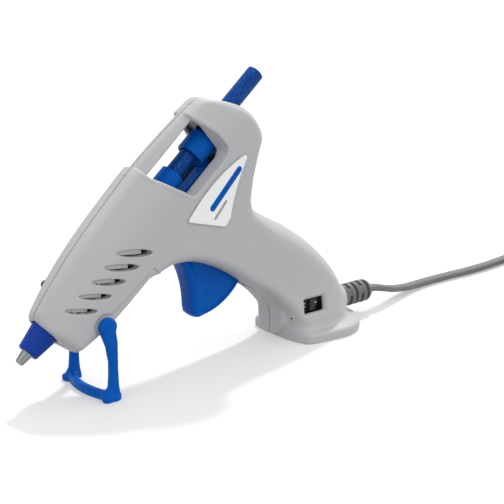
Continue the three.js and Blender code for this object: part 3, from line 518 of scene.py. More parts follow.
UPPER, LOWER = casing_outlines()
FOOT = foot_outline()
WINDOW_IN = Outline(
    [(80, 26), (80, 11.3), (82.6, 5), (85.2, -1.8), (87.2, -5.4), (105.6, -5.3), (108, -4), (108.4, 26)]
)
WINDOW_OUT = Outline(
    [(78.6, 26), (79.1, 14.4), (80.6, 10.7), (83, 4.1), (85, -0.8), (86.6, -5.2), (88.2, -6)]
    + [(104.8, -6), (108, -5.4), (109.8, -3.5), (110.2, 3.6), (110.4, 12.7), (110.4, 26)]
)
TRIGGER_SLOT = Outline(
    [(-22.4, 36), (-22.4, 46), (-20.4, 52), (-8, 52), (14, 39), (21.5, 31), (19, 20), (5, 18)]
)
LABEL_EDGE = [
    *bow((78.2, -10.3), (97, -6.4), (113.6, -11.5), 16),
    *bow((113.8, -12.8), (100.5, -18), (92.5, -24.5), 16),
    *barrel_points((88.6, -25.3)),
]
LABEL = Outline(LABEL_EDGE, step=0.25, margin=5)
STAND_X, STAND_Z = from_barrel(28.9, -10.7)
SWITCH_X, SWITCH_Z = (37.6 + 48.6) / 2, (11.8 + 18.0) / 2
SWITCH_LENGTH, SWITCH_HEIGHT = 48.6 - 37.6, 18.0 - 11.8
SCREWS = [*barrel_points((66, -13.6), (114.8, 7), (117, -13)), (37, 33), (58.5, 21)]
LENS_X, LENS_Z = from_barrel(28.5, 6.6)
OUTLET_Z = 10
HALF_WIDTH = 12.8
WALL = 2.2
NOSE_RADIUS, MOUTH_RADIUS = 5.75, 4.4
REAR_RIB_S = 112
VENT_LEAN = 0.13


def spine_height(s):
    """The spine's height along the barrel, as one smooth rise and fall."""
    rise = 15.9 - 9.6 * np.exp(-np.maximum(s - 14.3, 0) / 22)
    return rise - 0.0021 * np.maximum(s - 84, 0) ** 2 - 0.6 * ramp(16, 4, s)


def flank(across, s, n):
    """The slopes on both sides of the spine, which follow its height."""
    below = n - spine_height(s) + 0.8 * ramp(100, 110, s)
    shoulder = 3.2 + 1.6 * ramp(20, 55, s)
    corners = [(shoulder + 0.5, 1.4), (8.6, -2.4), (11.9, -7.2), (13.5, -13.2)]
    total = None
    for (a0, n0), (a1, n1) in zip(corners, corners[1:]):
        length = np.hypot(a1 - a0, n1 - n0)
        plane = ((across - a0) * (n0 - n1) + (below - n0) * (a1 - a0)) / length
        total = plane if total is None else smooth_max(total, plane, 4.0)
    return total


def casing_skin(x, y, z):
    """The outer form of both halves together: rounder along the grip, wider towards its low end."""
    a = np.abs(y)
    s, n = to_barrel(x, z)
    low = ramp(26, 4, z) * ramp(22, 36, x)
    grip = ramp(2, 30, x)
    width = HALF_WIDTH + 2.3 * low
    front = rounded(LOWER(x, z), 4.6 + 2.6 * low, 6.5 + 4 * low, a, width)
    back = rounded(UPPER(x, z), 4.6 + 5.5 * grip + 9.5 * low, 6.5 + 3.5 * grip + 4.5 * low, a, width)
    body = smooth_max(smooth_max(front, back, 1.5), flank(a, s, n), 1.8)
    foot = rounded(FOOT(x, y), 1.8, 1.8, z, 4.5)
    boss = rounded(from_axis(y, z - OUTLET_Z) - 6.3 + 0.05 * (x - 60), 0.8, 0.8, np.abs(x - 50), 20.4)
    out = np.maximum(a - 9, 0) / 3.1
    latch = (np.sqrt(((s - 57.7) / 1.5) ** 2 + ((n + 13.6) / 3.0) ** 2 + out**2) - 1) * 1.5
    body = smooth_min(smooth_min(body, boss, 2.5), foot, 3.4)
    return smooth_max(smooth_min(body, latch, 0.8), -z, 0.8)


def window_field(s, n, across):
    """The through window, which widens towards the outside, and the strut that crosses over it."""
    t = np.clip((across - 6) / 5.5, 0, 1)
    hole = WINDOW_IN(s, n) * (1 - t) + WINDOW_OUT(s, n) * t
    sloped = (across - 2.0 + n - spine_height(s)) / math.sqrt(2)
    strut = smooth_max(smooth_max(across - 5.6, 11.3 - n, 1.2), sloped, 0.8)
    return hole, strut


def vents():
    """Centre, half length and half height of each slot, the one at the nose first."""
    for i in range(5):
        t = i / 4
        yield -67.5 + 22.5 * t, 35.5 + 17.5 * t, (11 + 3.7 * t) / 2, (2 + 0.8 * t) / 2


def with_vents(shell, skin, x, z):
    """Adds the slots: shallow pockets, open right through at their rear end and along their lower edge."""
    for cx, cz, half_length, half_height in vents():
        u = (x - cx) / half_length
        v = (z - cz + VENT_LEAN * (x - cx)) / half_height
        ring = (np.sqrt(u**2 + v**2) - 1) * half_height * 1.4
        depth = 0.9 + 1.1 * np.clip((u + 1) / 2, 0, 1)
        backing = np.maximum(np.maximum(ring - 1.2, skin), -(skin + depth + 1.4))
        shell = np.minimum(shell, backing)
        pocket = np.maximum(ring, -(skin + depth))
        open_part = np.minimum(0.5 - u, 0.9 * v + 0.5)
        hole = np.maximum(np.maximum(ring + 0.1, open_part), -(skin + 6))
        shell = smooth_max(smooth_max(shell, -pocket, 0.35), -hole, 0.3)
    return shell


def casing(side):
    """One half's distance field: side -1 is the half with the switch, side 1 the half with the screws."""

    def field(x, y, z):
        a = np.abs(y)
        s, n = to_barrel(x, z)
        from_stick = from_axis(n, y)
        skin = casing_skin(x, y, z)
        shell = np.maximum(skin, -(skin + WALL))
        rear_rib = np.maximum(np.maximum(skin, np.abs(s - REAR_RIB_S) - 0.8), MOUTH_RADIUS - from_stick)
        shell = np.minimum(shell, rear_rib)
        hole, strut = window_field(s, n, a)
        frame_wall = np.maximum(np.maximum(skin, hole - 1.5), 6.3 - a)
        bar = np.maximum(np.maximum(skin, strut), np.abs(s - 94) - 18)
        shell = smooth_min(smooth_min(shell, frame_wall, 0.5), bar, 0.5)
        shell = with_vents(shell, skin, x, z)
        cut = smooth_max(hole, -strut, 0.6)
        shell = smooth_max(shell, -cut, 0.9)
        nose = np.maximum(from_stick - NOSE_RADIUS, s - 24)
        mouth = np.maximum(from_stick - MOUTH_RADIUS, 114 - s)
        shell = smooth_max(smooth_max(shell, -nose, 0.7), -mouth, 0.8)
        shell = smooth_max(shell, -np.maximum(TRIGGER_SLOT(x, z), a - 5.1), 0.6)
        label = np.maximum(LABEL(x, z) - 0.45, 12.3 - a)
        shell = smooth_max(shell, -label, 0.3)
        seat = from_axis(x - STAND_X, z - STAND_Z) - 4.4
        fold = np.maximum(np.maximum(n + 9.2 + 0.09 * (s - 29), 28.9 - s), s - 56.8)
        shell = smooth_max(shell, -np.maximum(smooth_min(seat, fold, 0.6), 12.0 - a), 0.5)
        relief = from_axis(y, z - OUTLET_Z)
        bore = np.maximum(relief - 4, np.abs(x - 70) - 6)
        groove = np.maximum(relief - 5.6, np.abs(x - 65.1) - 1.5)
        shell = np.maximum(shell, -np.minimum(bore, groove))
        shell = with_side_details(shell, skin, side, x, a, z)
        return smooth_max(shell, 0.2 - side * y, 0.3)

    return field


def with_side_details(shell, skin, side, x, a, z):
    """Cuts the switch's window and its room on one side, the screw holes and the lens hole on the other."""
    if side < 0:
        du = np.abs(x - SWITCH_X) - SWITCH_LENGTH / 2
        dv = np.abs(z - SWITCH_Z) - SWITCH_HEIGHT / 2
        opening = smooth_max(du, dv, 0.8) - np.clip(skin + 1.0, 0, 2) * 0.9
        room = np.maximum(np.maximum(du - 4.6, dv - 1.6), np.abs(a - 7.7) - 2.7)
        return smooth_max(shell, -np.minimum(np.maximum(opening, 6 - a), room), 0.3)
    for sx, sz in SCREWS:
        r = from_axis(x - sx, z - sz)
        boss = np.maximum(np.maximum(r - 4.0, 1 - a), skin)
        shell = smooth_max(smooth_min(shell, boss, 0.4), -np.maximum(r - 3.0, 5.2 - a), 0.5)
        shell = np.maximum(shell, -(r - 1.6))
    lens = from_axis(x - LENS_X, z - LENS_Z) - 2.1
    return smooth_max(shell, -np.maximum(lens, 6 - a), 0.4)


def add_shell(name, side, material):
    near = np.array([-0.3, 0.0, 0.15, 0.3, 0.45, 0.65, 0.9, 1.25])
    levels = np.concatenate([near, np.arange(near[-1] + SHELL_STEP, 21.5, SHELL_STEP)])
    levels = levels * side if side > 0 else (levels * side)[::-1]
    made = sculpt(name, casing(side), (-82, 0, 0), (75.5, 0, 107.5), SHELL_STEP, levels)
    return piece(made, "casing", "casing", [name], material)


# ---- Trigger, stand and carriage ------------------------------------------------------------------------

TRIGGER_X, TRIGGER_Z = -16.0, 49.5
DRIVE_X, DRIVE_Z = from_barrel(84.5, -10.2)
RIM_X, RIM_Z, RIM_RADIUS = -12.2, 46.9, 27.6
PIN_HOLE = 1.8


def trigger_outlines():
    """The whole side outline, and the finger pad along its front edge."""
    front = spline([(-19.6, 44.6), (-16, 37.5), (-14, 30), (-13.3, 22.5)], 30)
    angles = [math.radians(-88 + 58 * i / 40) for i in range(41)]
    arc = [(RIM_X + RIM_RADIUS * math.cos(a), RIM_Z + RIM_RADIUS * math.sin(a)) for a in angles]
    web = Outline([*front, (-12.7, 20.4), *arc, (9.2, 36.5), (-9, 46.6), (-16, 47.6)], step=0.3)
    back = [(x + 4.6, z - 0.4) for x, z in front[::-1]]
    pad = [*front, (-13.0, 20.3), (-12.0, 19.0), (-9.8, 18.8), (-8.7, 19.6), *back]
    return web, Outline(pad, step=0.3)


WEB, PAD = trigger_outlines()


def trigger_field(x, y, z):
    a = np.abs(y)
    web = rounded(WEB(x, z), 0.4, 0.4, a, 3.7)
    rim = np.maximum(WEB(x, z), RIM_RADIUS - 1.2 - from_axis(x - RIM_X, z - RIM_Z))
    rim = rounded(rim, 0.35, 0.35, a, 4.25)
    pad = rounded(PAD(x, z), 2.1, 4.0, a, 4.6)
    from_pivot = from_axis(x - TRIGGER_X, z - TRIGGER_Z)
    hub = rounded(from_pivot - 4, 0.4, 0.4, a, 5)
    px, pz = DRIVE_X - TRIGGER_X, DRIVE_Z - TRIGGER_Z
    t = np.clip(((x - TRIGGER_X) * px + (z - TRIGGER_Z) * pz) / (px * px + pz * pz), 0, 1)
    arm = from_axis(x - TRIGGER_X - px * t, z - TRIGGER_Z - pz * t) - 3.2
    arm = rounded(arm, 0.3, 0.3, np.abs(a - 4.05), 0.95)
    body = smooth_min(smooth_min(web, rim, 0.3), pad, 1.2)
    body = smooth_min(smooth_min(body, hub, 0.8), arm, 0.5)
    from_drive = from_axis(x - DRIVE_X, z - DRIVE_Z)
    return np.maximum(body, PIN_HOLE - np.minimum(from_pivot, from_drive))


def stand_outlines():
    """A leg seen from the side, and the crossbar seen from above."""
    boss = [math.radians(200 - 230 * i / 24) for i in range(25)]
    boss = [(3.5 * math.cos(a), 28.4 + 3.5 * math.sin(a)) for a in boss]
    right = [(3.2, 22), (3.0, 12), (3.2, 5), (3.6, 2.5), (3.8, 0)]
    left = [(-2.6, 0), (-2.4, 2.4), (-1.2, 5), (-0.7, 10), (-0.6, 15), (-1.6, 21), (-2.9, 25.5)]
    leg = [(x + STAND_X + 0.4 * (z < 25), z) for x, z in [*boss, *right, *left]]
    half = 13.6
    outer = [(STAND_X - 1.7 - 2.7 * (1 - (y / half) ** 2), y) for y in np.linspace(-half, half, 31)]
    inner = [(x + 2.9, y) for x, y in reversed(outer)]
    return Outline(leg, step=0.25), Outline([*outer, *inner], step=0.25)


LEG, BAR = stand_outlines()


def stand_field(x, y, z):
    a = np.abs(y)
    from_pivot = from_axis(x - STAND_X, z - STAND_Z)
    boss = ramp(5.0, 2.0, from_pivot)
    leg = rounded(LEG(x, z), 1.3, 1.0, np.abs(a - 13.65), 1.35 + 0.15 * boss)
    bar = rounded(BAR(x, y), 0.9, 0.9, np.abs(z - 1.8), 1.8)
    height = np.abs(z - 1.25)
    front_lug = rounded(from_axis((x - STAND_X - 1.4) / 1.25, a - 14.1) - 2.1, 0.8, 0.8, height, 1.25)
    rear_lug = rounded(from_axis(x - STAND_X + 1.6, a - 14.2) - 1.9, 0.8, 0.8, height, 1.25)
    stub = np.maximum(from_pivot - 1.4, np.abs(a - 11.7) - 2.0)
    body = smooth_min(leg, bar, 2.6)
    body = smooth_min(smooth_min(body, smooth_min(front_lug, rear_lug, 1.0), 0.9), stub, 0.2)
    return smooth_max(body, -z, 0.3)


def carriage_field(x, y, z):
    """The collar round the stick, and under it the bar with the lug and slot for the drive pin."""
    s, n = to_barrel(x, z)
    collar = rounded(from_axis(y, n + 0.8) - 5.8, 0.45, 0.45, np.abs(s - 105), 4.5)
    bar = rounded(np.maximum(np.abs(s - 91.9) - 10.7, np.abs(n + 8.3) - 0.9), 0.4, 0.4, np.abs(y), 2.6)
    neck = rounded(np.maximum(np.abs(s - 102.2) - 1.7, np.abs(n + 7.2) - 2.0), 0.4, 0.4, np.abs(y), 2.6)
    bar = smooth_min(bar, neck, 0.5)
    lug = np.maximum(np.abs(s - 84.5) - 3.2 - 0.06 * (n + 6), np.abs(n + 10) - 4)
    lug = rounded(lug, 0.5, 0.5, np.abs(y), 2.6)
    body = smooth_min(smooth_min(collar, bar, 0.8), lug, 0.8)
    bore = from_axis(y, n) - 3.9
    t = np.clip(n + 10.6, 0, 3.5)
    slot = from_axis(s - 84.5, n + 10.6 - t) - 1.75
    return np.maximum(smooth_max(body, -bore, 0.4), -slot)


# ---- Strain relief and plug -----------------------------------------------------------------------------


def relief_field(x, y, z):
    """The ribbed sleeve: two bridges cross each groove, turned by a quarter from one to the next."""
    r = from_axis(y, z - OUTLET_Z)
    angle = np.arctan2(z - OUTLET_Z, y)
    radius = 5.1
    for i in range(4):
        groove = ramp(0.95, 0.55, np.abs(x - 73.6 - 3.55 * i))
        bridge = ramp(0.86, 0.95, np.abs(np.cos(angle + i * math.pi / 2 + 0.5)))
        radius = radius - 1.5 * groove * (1 - 0.75 * bridge)
    sleeve = rounded(r - radius, 0.5, 0.5, np.abs(x - 78.9), 8.7)
    tip = rounded(r - 5.1 + 0.9 * ramp(84.5, 87.6, x), 1.2, 1.2, np.abs(x - 78.9), 8.7)
    neck = np.maximum(r - 3.6, np.abs(x - 66) - 7)
    flange = np.maximum(r - 5.2, np.abs(x - 65.1) - 1.1)
    inside = np.maximum(r - 2.6, np.abs(x - 60) - 5.5)
    return np.minimum(smooth_max(sleeve, tip, 0.3), np.minimum(np.minimum(neck, flange), inside))


PLUG_X, PLUG_Y, PLUG_Z = 258, -4.4, 17.95
PLUG_TURN = math.radians(-18)
PLUG_GAP = 0.6
PLUG_PLACE = Matrix.Translation(
    (PLUG_X + PLUG_GAP * math.cos(PLUG_TURN), PLUG_Y + PLUG_GAP * math.sin(PLUG_TURN), PLUG_Z)
) @ Matrix.Rotation(PLUG_TURN, 4, "Z")
PLUG_EDGE = spline([(0, 4.5), (5, 5.2), (12, 9), (19, 14.5), (24, 17.2), (31, 17.5)], 30)
PLUG = Outline([*PLUG_EDGE, *[(x, -y) for x, y in PLUG_EDGE[::-1]]], step=0.3)


def plug_field(x, y, z):
    """The plug's body, with ripples where fingers hold it and a step at the face with the pins."""
    grip = 0.35 * (0.5 - 0.5 * np.cos(2 * math.pi * x / 2.2)) * ramp(6, 9, x) * ramp(22, 19, x)
    edge = PLUG(x, y) + grip * ramp(3, 6, np.abs(y))
    body = rounded(edge, 2.6, 3.4, np.abs(z), 6.5)
    step = rounded(PLUG(x, y) + 1.2, 1.0, 1.0, np.abs(z), 6.5)
    return np.where(x > 28.5, smooth_max(body, step, 0.5), body)


# ---- Cord -----------------------------------------------------------------------------------------------

CORD_WIDTH, CORD_THICK = 5.4, 3.2
CORD_ROUTE = [
    (87.9, 0, 10),
    (92, 0.1, 9.8),
    (98, 0.6, 8.3),
    (106, 2.2, 5.9),
    (116, 4.6, 3.7),
    (126, 6.6, 2.4),
    (139, 7.8, 1.9),
    (154, 7.4, 1.9),
    (168, 6.6, 1.9),
    (184, 6.8, 1.9),
    (199, 8.2, 1.9),
    (204.5, 9.2, 1.9),
]
TAIL_ROUTE = [(224, 5, 13.2), (231, 4.5, 14.1), (239, 2.5, 15.2), (248, -0.7, 16.5), (258, -4.4, 17.6)]
HANK_X, HANK_Y, HANK_Z = 223, -11.4, 0.95
RUN = 64
INNER, OUTER = 16.4, 22.0
LAYER = 3.4


def hank_columns():
    """Each straight run's offset from the hank's middle line, one for every half turn, from the +y side."""
    return [OUTER, OUTER, INNER, INNER, INNER, OUTER, OUTER, OUTER, INNER, INNER, INNER]


def hank_points():
    """Five turns, clockwise from above, in two columns and three layers. Half a turn is a run and a fold."""
    offsets = hank_columns()
    points = []
    for half in range(10):
        side = 1 if half % 2 == 0 else -1
        here, there = offsets[half], offsets[half + 1]
        shift = half == 8
        start = HANK_X if side > 0 else HANK_X + RUN
        for i in range(8):
            part = i / 8
            offset = here
            if shift:
                offset = OUTER + (INNER - OUTER) * ramp(0, 0.5, part)
            points.append((start + side * RUN * part, HANK_Y + side * offset, half + part * 0.55))
        radius = (here + there) / 2
        middle = HANK_Y + side * (here - there) / 2
        for i in range(14):
            angle = side * math.pi / 2 - math.pi * i / 14
            x = HANK_X + (RUN if side > 0 else 0) + radius * math.cos(angle)
            points.append((x, middle + radius * math.sin(angle), half + 0.55 + 0.45 * i / 14))
    points.append((HANK_X, HANK_Y + INNER, 10))
    return [(x, y, hank_height(t)) for x, y, t in points]


def hank_height(halves):
    """The height after so many half turns: up a layer in the second turn and the fourth, then to the tail."""
    layer = 0.5 + ramp(3.25, 3.55, halves) + ramp(6.25, 6.55, halves)
    return HANK_Z + LAYER * layer + 3.7 * ramp(9.5, 10, halves)


def cord_line():
    """The whole centreline, evenly spaced, in millimetres."""
    rough = spline([*CORD_ROUTE, *hank_points(), *TAIL_ROUTE[1:]], 6000)
    lengths = np.concatenate([[0], np.cumsum(np.linalg.norm(np.diff(rough, axis=0), axis=1))])
    even = np.linspace(0, lengths[-1], int(lengths[-1] / 1.6))
    return np.stack([np.interp(even, lengths, rough[:, i]) for i in range(3)], 1)


def add_cord(material):
    """A flat twin lead: two round cores side by side in one skin."""
    line = cord_line()
    tangent = np.gradient(line, axis=0)
    tangent /= np.linalg.norm(tangent, axis=1, keepdims=True)
    side = np.cross(tangent, (0, 0, 1))
    side /= np.linalg.norm(side, axis=1, keepdims=True)
    up = np.cross(side, tangent)
    section = []
    for i in range(24):
        a = 2 * math.pi * i / 24
        wide = CORD_WIDTH / 2 * math.cos(a)
        waist = 1 - 0.16 * math.exp(-((wide / 0.75) ** 2))
        high = CORD_THICK / 2 * math.copysign(abs(math.sin(a)) ** 0.72, math.sin(a)) * waist
        section.append((wide, high))
    vertices = [p + w * s + h * u for p, s, u in zip(line, side, up) for w, h in section]
    count = len(section)
    faces = []
    for ring in range(len(line) - 1):
        for i in range(count):
            j = (i + 1) % count
            faces.append((ring * count + i, (ring + 1) * count + i, (ring + 1) * count + j, ring * count + j))
    last = (len(line) - 1) * count
    faces += [tuple(range(count)), tuple(last + i for i in reversed(range(count)))]
    made = object_from("cord_lead", vertices, faces)
    piece(made, "casing", "cord", ["cord", "cord_hank", "cord_tail"], material)
    return made, line


def tie_field(x, y, z):
    """A flat ribbed band round the runs on the hank's -y side."""
    cy, cz = HANK_Y - (INNER + OUTER) / 2, 6.05
    du, dv = np.abs(y - cy), np.abs(z - cz)
    outer = smooth_max(du - 6.5, dv - 6.0, 2.0)
    inner = smooth_max(du - 5.9, dv - 5.4, 1.6)
    ribs = 0.12 * (0.5 - 0.5 * np.cos(2 * math.pi * y / 1.2)) * ramp(5, 5.6, dv)
    return rounded(smooth_max(outer + ribs, -inner, 0.1), 0.25, 0.25, np.abs(x - HANK_X - 20), 3.0)


# ---- Small parts ----------------------------------------------------------------------------------------


def slab(name, points, low, high, bevel, segments=3):
    """A side outline in x and z, made into a plate from y = low to y = high with rounded edges."""
    mesh = bmesh.new()
    rim = [mesh.verts.new((x * MM, low * MM, z * MM)) for x, z in points]
    face = mesh.faces.new(rim)
    moved = bmesh.ops.extrude_face_region(mesh, geom=[face])["geom"]
    far = [v for v in moved if isinstance(v, bmesh.types.BMVert)]
    bmesh.ops.translate(mesh, vec=(0, (high - low) * MM, 0), verts=far)
    bmesh.ops.recalc_face_normals(mesh, faces=mesh.faces)
    sharp = [e for e in mesh.edges if e.calc_face_angle(0) > 1.0]
    bmesh.ops.bevel(mesh, geom=sharp, offset=bevel * MM, segments=segments, affect="EDGES", profile=0.5)
    made = object_of(name, mesh)
    made.modifiers.new("normals", "WEIGHTED_NORMAL").keep_sharp = True
    return made


def bar_outline(s, n, length, height, lean):
    """A slanted bar with round ends, centred at (s, n) in the barrel's frame and turned by lean degrees."""
    half, r = length / 2 - height / 2, height / 2
    turn = math.radians(lean)
    points = []
    for i in range(24):
        a = 2 * math.pi * i / 24 + math.pi / 2
        u = r * math.cos(a) + (half if math.cos(a) > 1e-9 else -half)
        v = r * math.sin(a)
        across, up = u * math.cos(turn) - v * math.sin(turn), u * math.sin(turn) + v * math.cos(turn)
        points.append((s + across, n + up))
    return barrel_points(*points)


def rounded_outline(points, radius):
    """A closed outline with its corners rounded."""
    looped = [points[-1], *points, points[0]]
    return [tuple(p) for p in eased(looped, radius)[1:-1]]


def add_labels(paper, blue, grey):
    """The plate on each side, with a plain blue bar and a plain grey line on it."""
    edge = rounded_outline(LABEL_EDGE, 1.1)
    for name, side in (("label_plate_left", -1), ("label_plate_right", 1)):
        inner, outer = sorted((side * 12.45, side * 13.05))
        plate = slab(f"{name}_plate", edge, inner, outer, 0.12)
        piece(plate, "casing", "label", [name], paper)
        low, high = sorted((side * 13.02, side * 13.1))
        blue_bar = slab(f"{name}_bar", bar_outline(98.5, -14.2, 21, 2.5, 5), low, high, 0.01, 1)
        grey_bar = slab(f"{name}_line", bar_outline(91.4, -18.4, 9, 1.1, 8), low, high, 0.01, 1)
        piece(blue_bar, "casing", "blue_plastic", [], blue)
        piece(grey_bar, "casing", "casing", [], grey)


def slider_field(x, y, z):
    """A flat base behind the window, with a ribbed thumb piece on it."""
    du, dv = np.abs(x - SWITCH_X), np.abs(z - SWITCH_Z)
    base = rounded(np.maximum(du - 8.1, dv - 4.0), 0.2, 0.2, np.abs(y + 9.5), 0.6)
    ribs = 0.3 * (0.5 - 0.5 * np.cos(2 * math.pi * (x - SWITCH_X) / 0.7))
    thumb = rounded(np.maximum(du - 1.4, dv - 2.7), 0.3, 0.3, np.abs(y + 10.7), 1.2 - ribs)
    return smooth_min(base, thumb, 0.2)


def add_slider(black, white):
    made = sculpt("slider", slider_field, (34.8, -12.2, 10.6), (51.4, -8.7, 19.2), 0.2 * FINE)
    piece(made, "temperature_slider", "black_plastic", ["temperature_slider"], black)
    for name, cx, cz in (("mark_high_a", 39.6, 15.5), ("mark_high_b", 39.6, 14.1), ("mark_low", 46.0, 14.9)):
        edge = [(cx + 0.95 * i, cz + 0.25 * j) for i, j in ((-1, -1), (1, -1), (1, 1), (-1, 1))]
        mark = slab(name, edge, -10.16, -10.08, 0.02, 1)
        piece(mark, "temperature_slider", "label", [], white)


def screw_field(x, y, z):
    """A round-headed screw along y, with a cross recess and a coarse thread."""
    r = from_axis(x, z)
    head = rounded(r - 2.6, 0.7, 0.7, np.abs(y - 6.55), 1.05)
    shank = np.maximum(r - 1.0 + 0.1 * np.cos(2 * math.pi * (y / 0.9)), np.abs(y + 1.4) - 7.1)
    body = smooth_min(head, shank, 0.3)
    u, v = np.abs(x), np.abs(z)
    cross = np.minimum(np.maximum(u - 0.4, v - 1.5), np.maximum(v - 0.4, u - 1.5))
    return smooth_max(body, -np.maximum(cross + 0.35 * np.clip(7.6 - y, 0, 2), 6.3 - y), 0.1)


def add_screws(steel):
    for number, (x, z) in enumerate(SCREWS, 1):
        made = sculpt(f"screw_{number}", screw_field, (-2.7, -8.6, -2.7), (2.7, 7.7, 2.7), 0.2 * FINE)
        made.data.transform(Matrix.Translation((x * MM, 0, z * MM)))
        piece(made, "casing", "steel", [f"case_screw_{number}"], steel)


def add_turned_parts(look):
    """The pieces that are round about the stick's axis."""
    tip = [(0, 0.9), (0, 1.35), (0.5, 1.6), (4.4, 2.2), (4.4, 2.7), (10.1, 2.7), (10.1, 0.9)]
    cone = [(4.7, 3), (4.7, 3.6), (5.2, 4), (14.2, 5.4), (20.2, 5.4), (20.2, 4), (10.4, 4), (10.4, 3)]
    sleeve = [(70.3, 3.9), (70.3, 6.2), (72.8, 6.2), (72.8, 4.8), (90.5, 4.8), (90.5, 3.9)]
    guide = [(118.5, 3.9), (118.5, 6.2), (120.7, 6.2), (120.7, 3.9)]
    parts = [
        ("nozzle_tip", tip, 0.3, "nickel"),
        ("nozzle_cone", cone, 0.5, "silicone"),
        ("feed_sleeve", sleeve, 0.35, "blue_plastic"),
        ("stick_guide", guide, 0.4, "resin"),
    ]
    for name, profile, radius, slot_name in parts:
        made = lathe(f"{name}_turned", profile, radius, BARREL, closed=True)
        piece(made, "casing", slot_name, [name], look[slot_name])
    stick = [(31, 0), (31, 2.6), (32.2, 3.5), (144.4, 3.5), (144.4, 0)]
    made = lathe("glue_stick_turned", stick, 0.35, BARREL)
    piece(made, "stick", "glue", ["glue_stick"], look["glue"])
    lens_place = Matrix.Translation((LENS_X, 0, LENS_Z)) @ Matrix.Rotation(math.pi / 2, 4, "Z")
    lens = lathe("lens_turned", [(7.4, 0), (7.4, 1.9), (9.3, 1.9), (10.0, 1.3), (10.2, 0)], 0.5, lens_place)
    piece(lens, "casing", "lens", ["indicator_lens"], look["lens"])


def add_plug(look):
    body = sculpt("plug", plug_field, (0, -17.6, -6.6), (31, 17.6, 6.6), 0.4 * FINE)
    body.data.transform(in_metres(PLUG_PLACE))
    piece(body, "casing", "cord", ["plug_body"], look["cord"])
    made = [body]
    for number, side in ((1, -1), (2, 1)):
        place = PLUG_PLACE @ Matrix.Translation((0, side * 9.3, 0))
        sleeve = [(31.3, 0), (31.3, 1.9), (41, 1.9), (41, 0)]
        sleeve = lathe(f"pin_sleeve_{number}", sleeve, 0.3, place, sides=40)
        pin = [(41, 0), (41, 2.0), (49.6, 2.0), (50.3, 1.2), (50.3, 0)]
        pin = lathe(f"pin_{number}", pin, 0.4, place, sides=40)
        piece(sleeve, "casing", "black_plastic", [], look["black_plastic"])
        piece(pin, "casing", "nickel", [f"plug_pin_{number}"], look["nickel"])
        made += [sleeve, pin]
    return made


# ---- Light and floor ------------------------------------------------------------------------------------


def add_world():
    """Soft white light: most from above, more from the right and the front than from the other sides."""
    world = bpy.data.worlds.new("studio")
    bpy.context.scene.world = world
    world.use_nodes = True
    tree = world.node_tree
    direction = tree.nodes.new("ShaderNodeTexCoord").outputs["Generated"]
    lean = tree.nodes.new("ShaderNodeVectorMath")
    lean.operation = "DOT_PRODUCT"
    lean.inputs[1].default_value = (0.22, -0.15, 0.42)
    level = tree.nodes.new("ShaderNodeMath")
    level.inputs[1].default_value = 0.8
    tree.links.new(direction, lean.inputs[0])
    tree.links.new(lean.outputs["Value"], level.inputs[0])
    tree.links.new(level.outputs[0], tree.nodes["Background"].inputs["Strength"])
    tree.nodes["Background"].inputs["Color"].default_value = (1, 1, 1, 1)


def add_sun(name, strength, spread, direction):
    """A distant light that shines along the direction, spread over so many degrees."""
    data = bpy.data.lights.new(name, "SUN")
    data.energy = strength
    data.angle = math.radians(spread)
    made = linked(name, data)
    made.rotation_mode = "QUATERNION"
    made.rotation_quaternion = Vector(direction).to_track_quat("-Z", "Y")


def add_floor():
    """A white floor. It's left out of the object's diffuse light, which the world gives."""
    n = Nodes("floor")
    n.set(Base_Color=n.mixed(n.noise(6, 2), colour(0.5, 0.5, 0.505), colour(0.51, 0.51, 0.51)))
    n.set(Roughness=n.between(n.noise(200, 3), 0.5, 0.6), Specular_IOR_Level=0.05)
    n.set(Emission_Color=colour(1, 1, 1), Emission_Strength=0.34)
    far = 6000
    corners = [(-far, -far, 0), (far, -far, 0), (far, far, 0), (-far, far, 0)]
    floor = object_from("floor", corners, [(0, 1, 2, 3)])
    floor.data.materials.append(n.material)
    floor.visible_diffuse = False


def add_studio():
    """The key light comes from high on the right and behind, the weak soft fill from the nozzle's side."""
    bpy.context.scene.view_settings.view_transform = "Standard"
    add_world()
    add_sun("key", 1.9, 5, (-0.5, -0.4, -1))
    add_sun("fill", 0.45, 60, (1, 0.1, -0.35))
    add_floor()


# ---- The whole ------------------------------------------------------------------------------------------


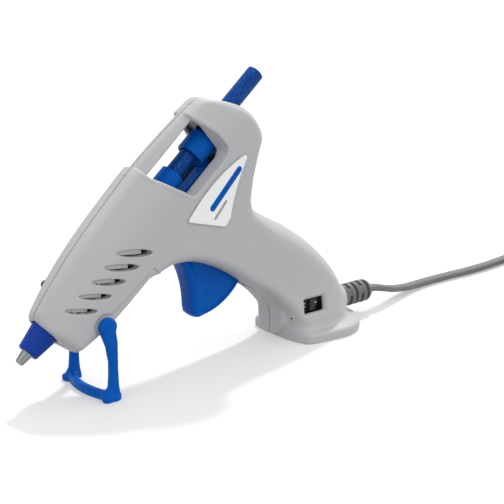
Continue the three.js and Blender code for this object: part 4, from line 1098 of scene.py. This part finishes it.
def looks():
    """The material of each slot, and of the marks. The colours are linear."""
    casing, blue, blue_rubber = (0.43, 0.435, 0.445), (0.0, 0.09, 0.43), (0.004, 0.042, 0.30)
    film, lead = (0.84, 0.845, 0.85), (0.115, 0.117, 0.12)
    return {
        "casing": moulded("casing_plastic", casing, 0.5, grain=4200, depth=0.000012, spread=0.015),
        "blue_plastic": moulded("blue_plastic", blue, 0.24, spread=0.04, depth=0.000005, specular=0.06),
        "silicone": moulded("silicone", blue_rubber, 0.36, grain=3000, depth=0.000008, specular=0.12),
        "glue": glitter("glue"),
        "nickel": metal("nickel", (0.27, 0.27, 0.28), 0.12),
        "steel": metal("steel", (0.62, 0.62, 0.63), 0.3),
        "aluminium": metal("aluminium", (0.72, 0.73, 0.74), 0.42, grain=900, depth=0.00001),
        "ceramic": moulded("ceramic", (0.78, 0.75, 0.68), 0.7, grain=2000, depth=0.00001),
        "resin": moulded("resin", (0.07, 0.055, 0.045), 0.6, grain=2400),
        "black_plastic": moulded("black_plastic", (0.012, 0.012, 0.013), 0.4, grain=5000),
        "label": moulded("label_film", film, 0.3, grain=6000, depth=0.000003, spread=0.01),
        "lens": moulded("lens", (0.01, 0.012, 0.014), 0.08, grain=800, depth=0.000001),
        "cord": moulded("cord_rubber", lead, 0.45, grain=3500, depth=0.00001, spread=0.05),
        "lead_sleeve": moulded("lead_sleeve", (0.66, 0.63, 0.56), 0.8, grain=2500, depth=0.00003),
        "white_mark": moulded("white_mark", (0.85, 0.85, 0.85), 0.4),
        "grey_mark": moulded("grey_mark", (0.33, 0.32, 0.29), 0.4),
    }


def paint_cad(look):
    """CAD nodes that stay shown take their slot's quality material."""
    for entry in frame["record"]["subparts"]:
        made = frame["nodes"][entry["node"]]
        made.data.materials.clear()
        made.data.materials.append(look[entry["material_slot"]])


def main():
    add_camera()
    look = looks()
    paint_cad(look)
    cord, line = add_cord(look["cord"])
    plug = add_plug(look)
    tie = sculpt("tie", tie_field, (239.9, -37.2, 0), (246.1, -24, 12.2), 0.3 * FINE)
    piece(tie, "casing", "black_plastic", ["cord_tie"], look["black_plastic"])
    add_shell("left_shell", -1, look["casing"])
    add_shell("right_shell", 1, look["casing"])
    trigger = sculpt("trigger_body", trigger_field, (-25, -5.1, 18.2), (16, 5.1, 69), 0.35 * FINE)
    piece(trigger, "trigger", "blue_plastic", ["trigger"], look["blue_plastic"])
    stand = sculpt("stand_body", stand_field, (-64.4, -17.2, 0), (-55, 17.2, 32.2), 0.3 * FINE)
    piece(stand, "stand", "blue_plastic", ["stand"], look["blue_plastic"])
    carriage = sculpt("carriage_body", carriage_field, (-24, -6, 60), (1, 6, 94), 0.3 * FINE)
    piece(carriage, "carriage", "blue_plastic", ["feed_carriage"], look["blue_plastic"])
    relief = sculpt("relief", relief_field, (54.4, -5.3, 4.7), (87.7, 5.3, 15.3), 0.25 * FINE)
    piece(relief, "casing", "cord", ["strain_relief"], look["cord"])
    add_turned_parts(look)
    add_labels(look["label"], look["blue_plastic"], look["grey_mark"])
    add_slider(look["black_plastic"], look["white_mark"])
    add_screws(look["steel"])
    add_studio()


main()
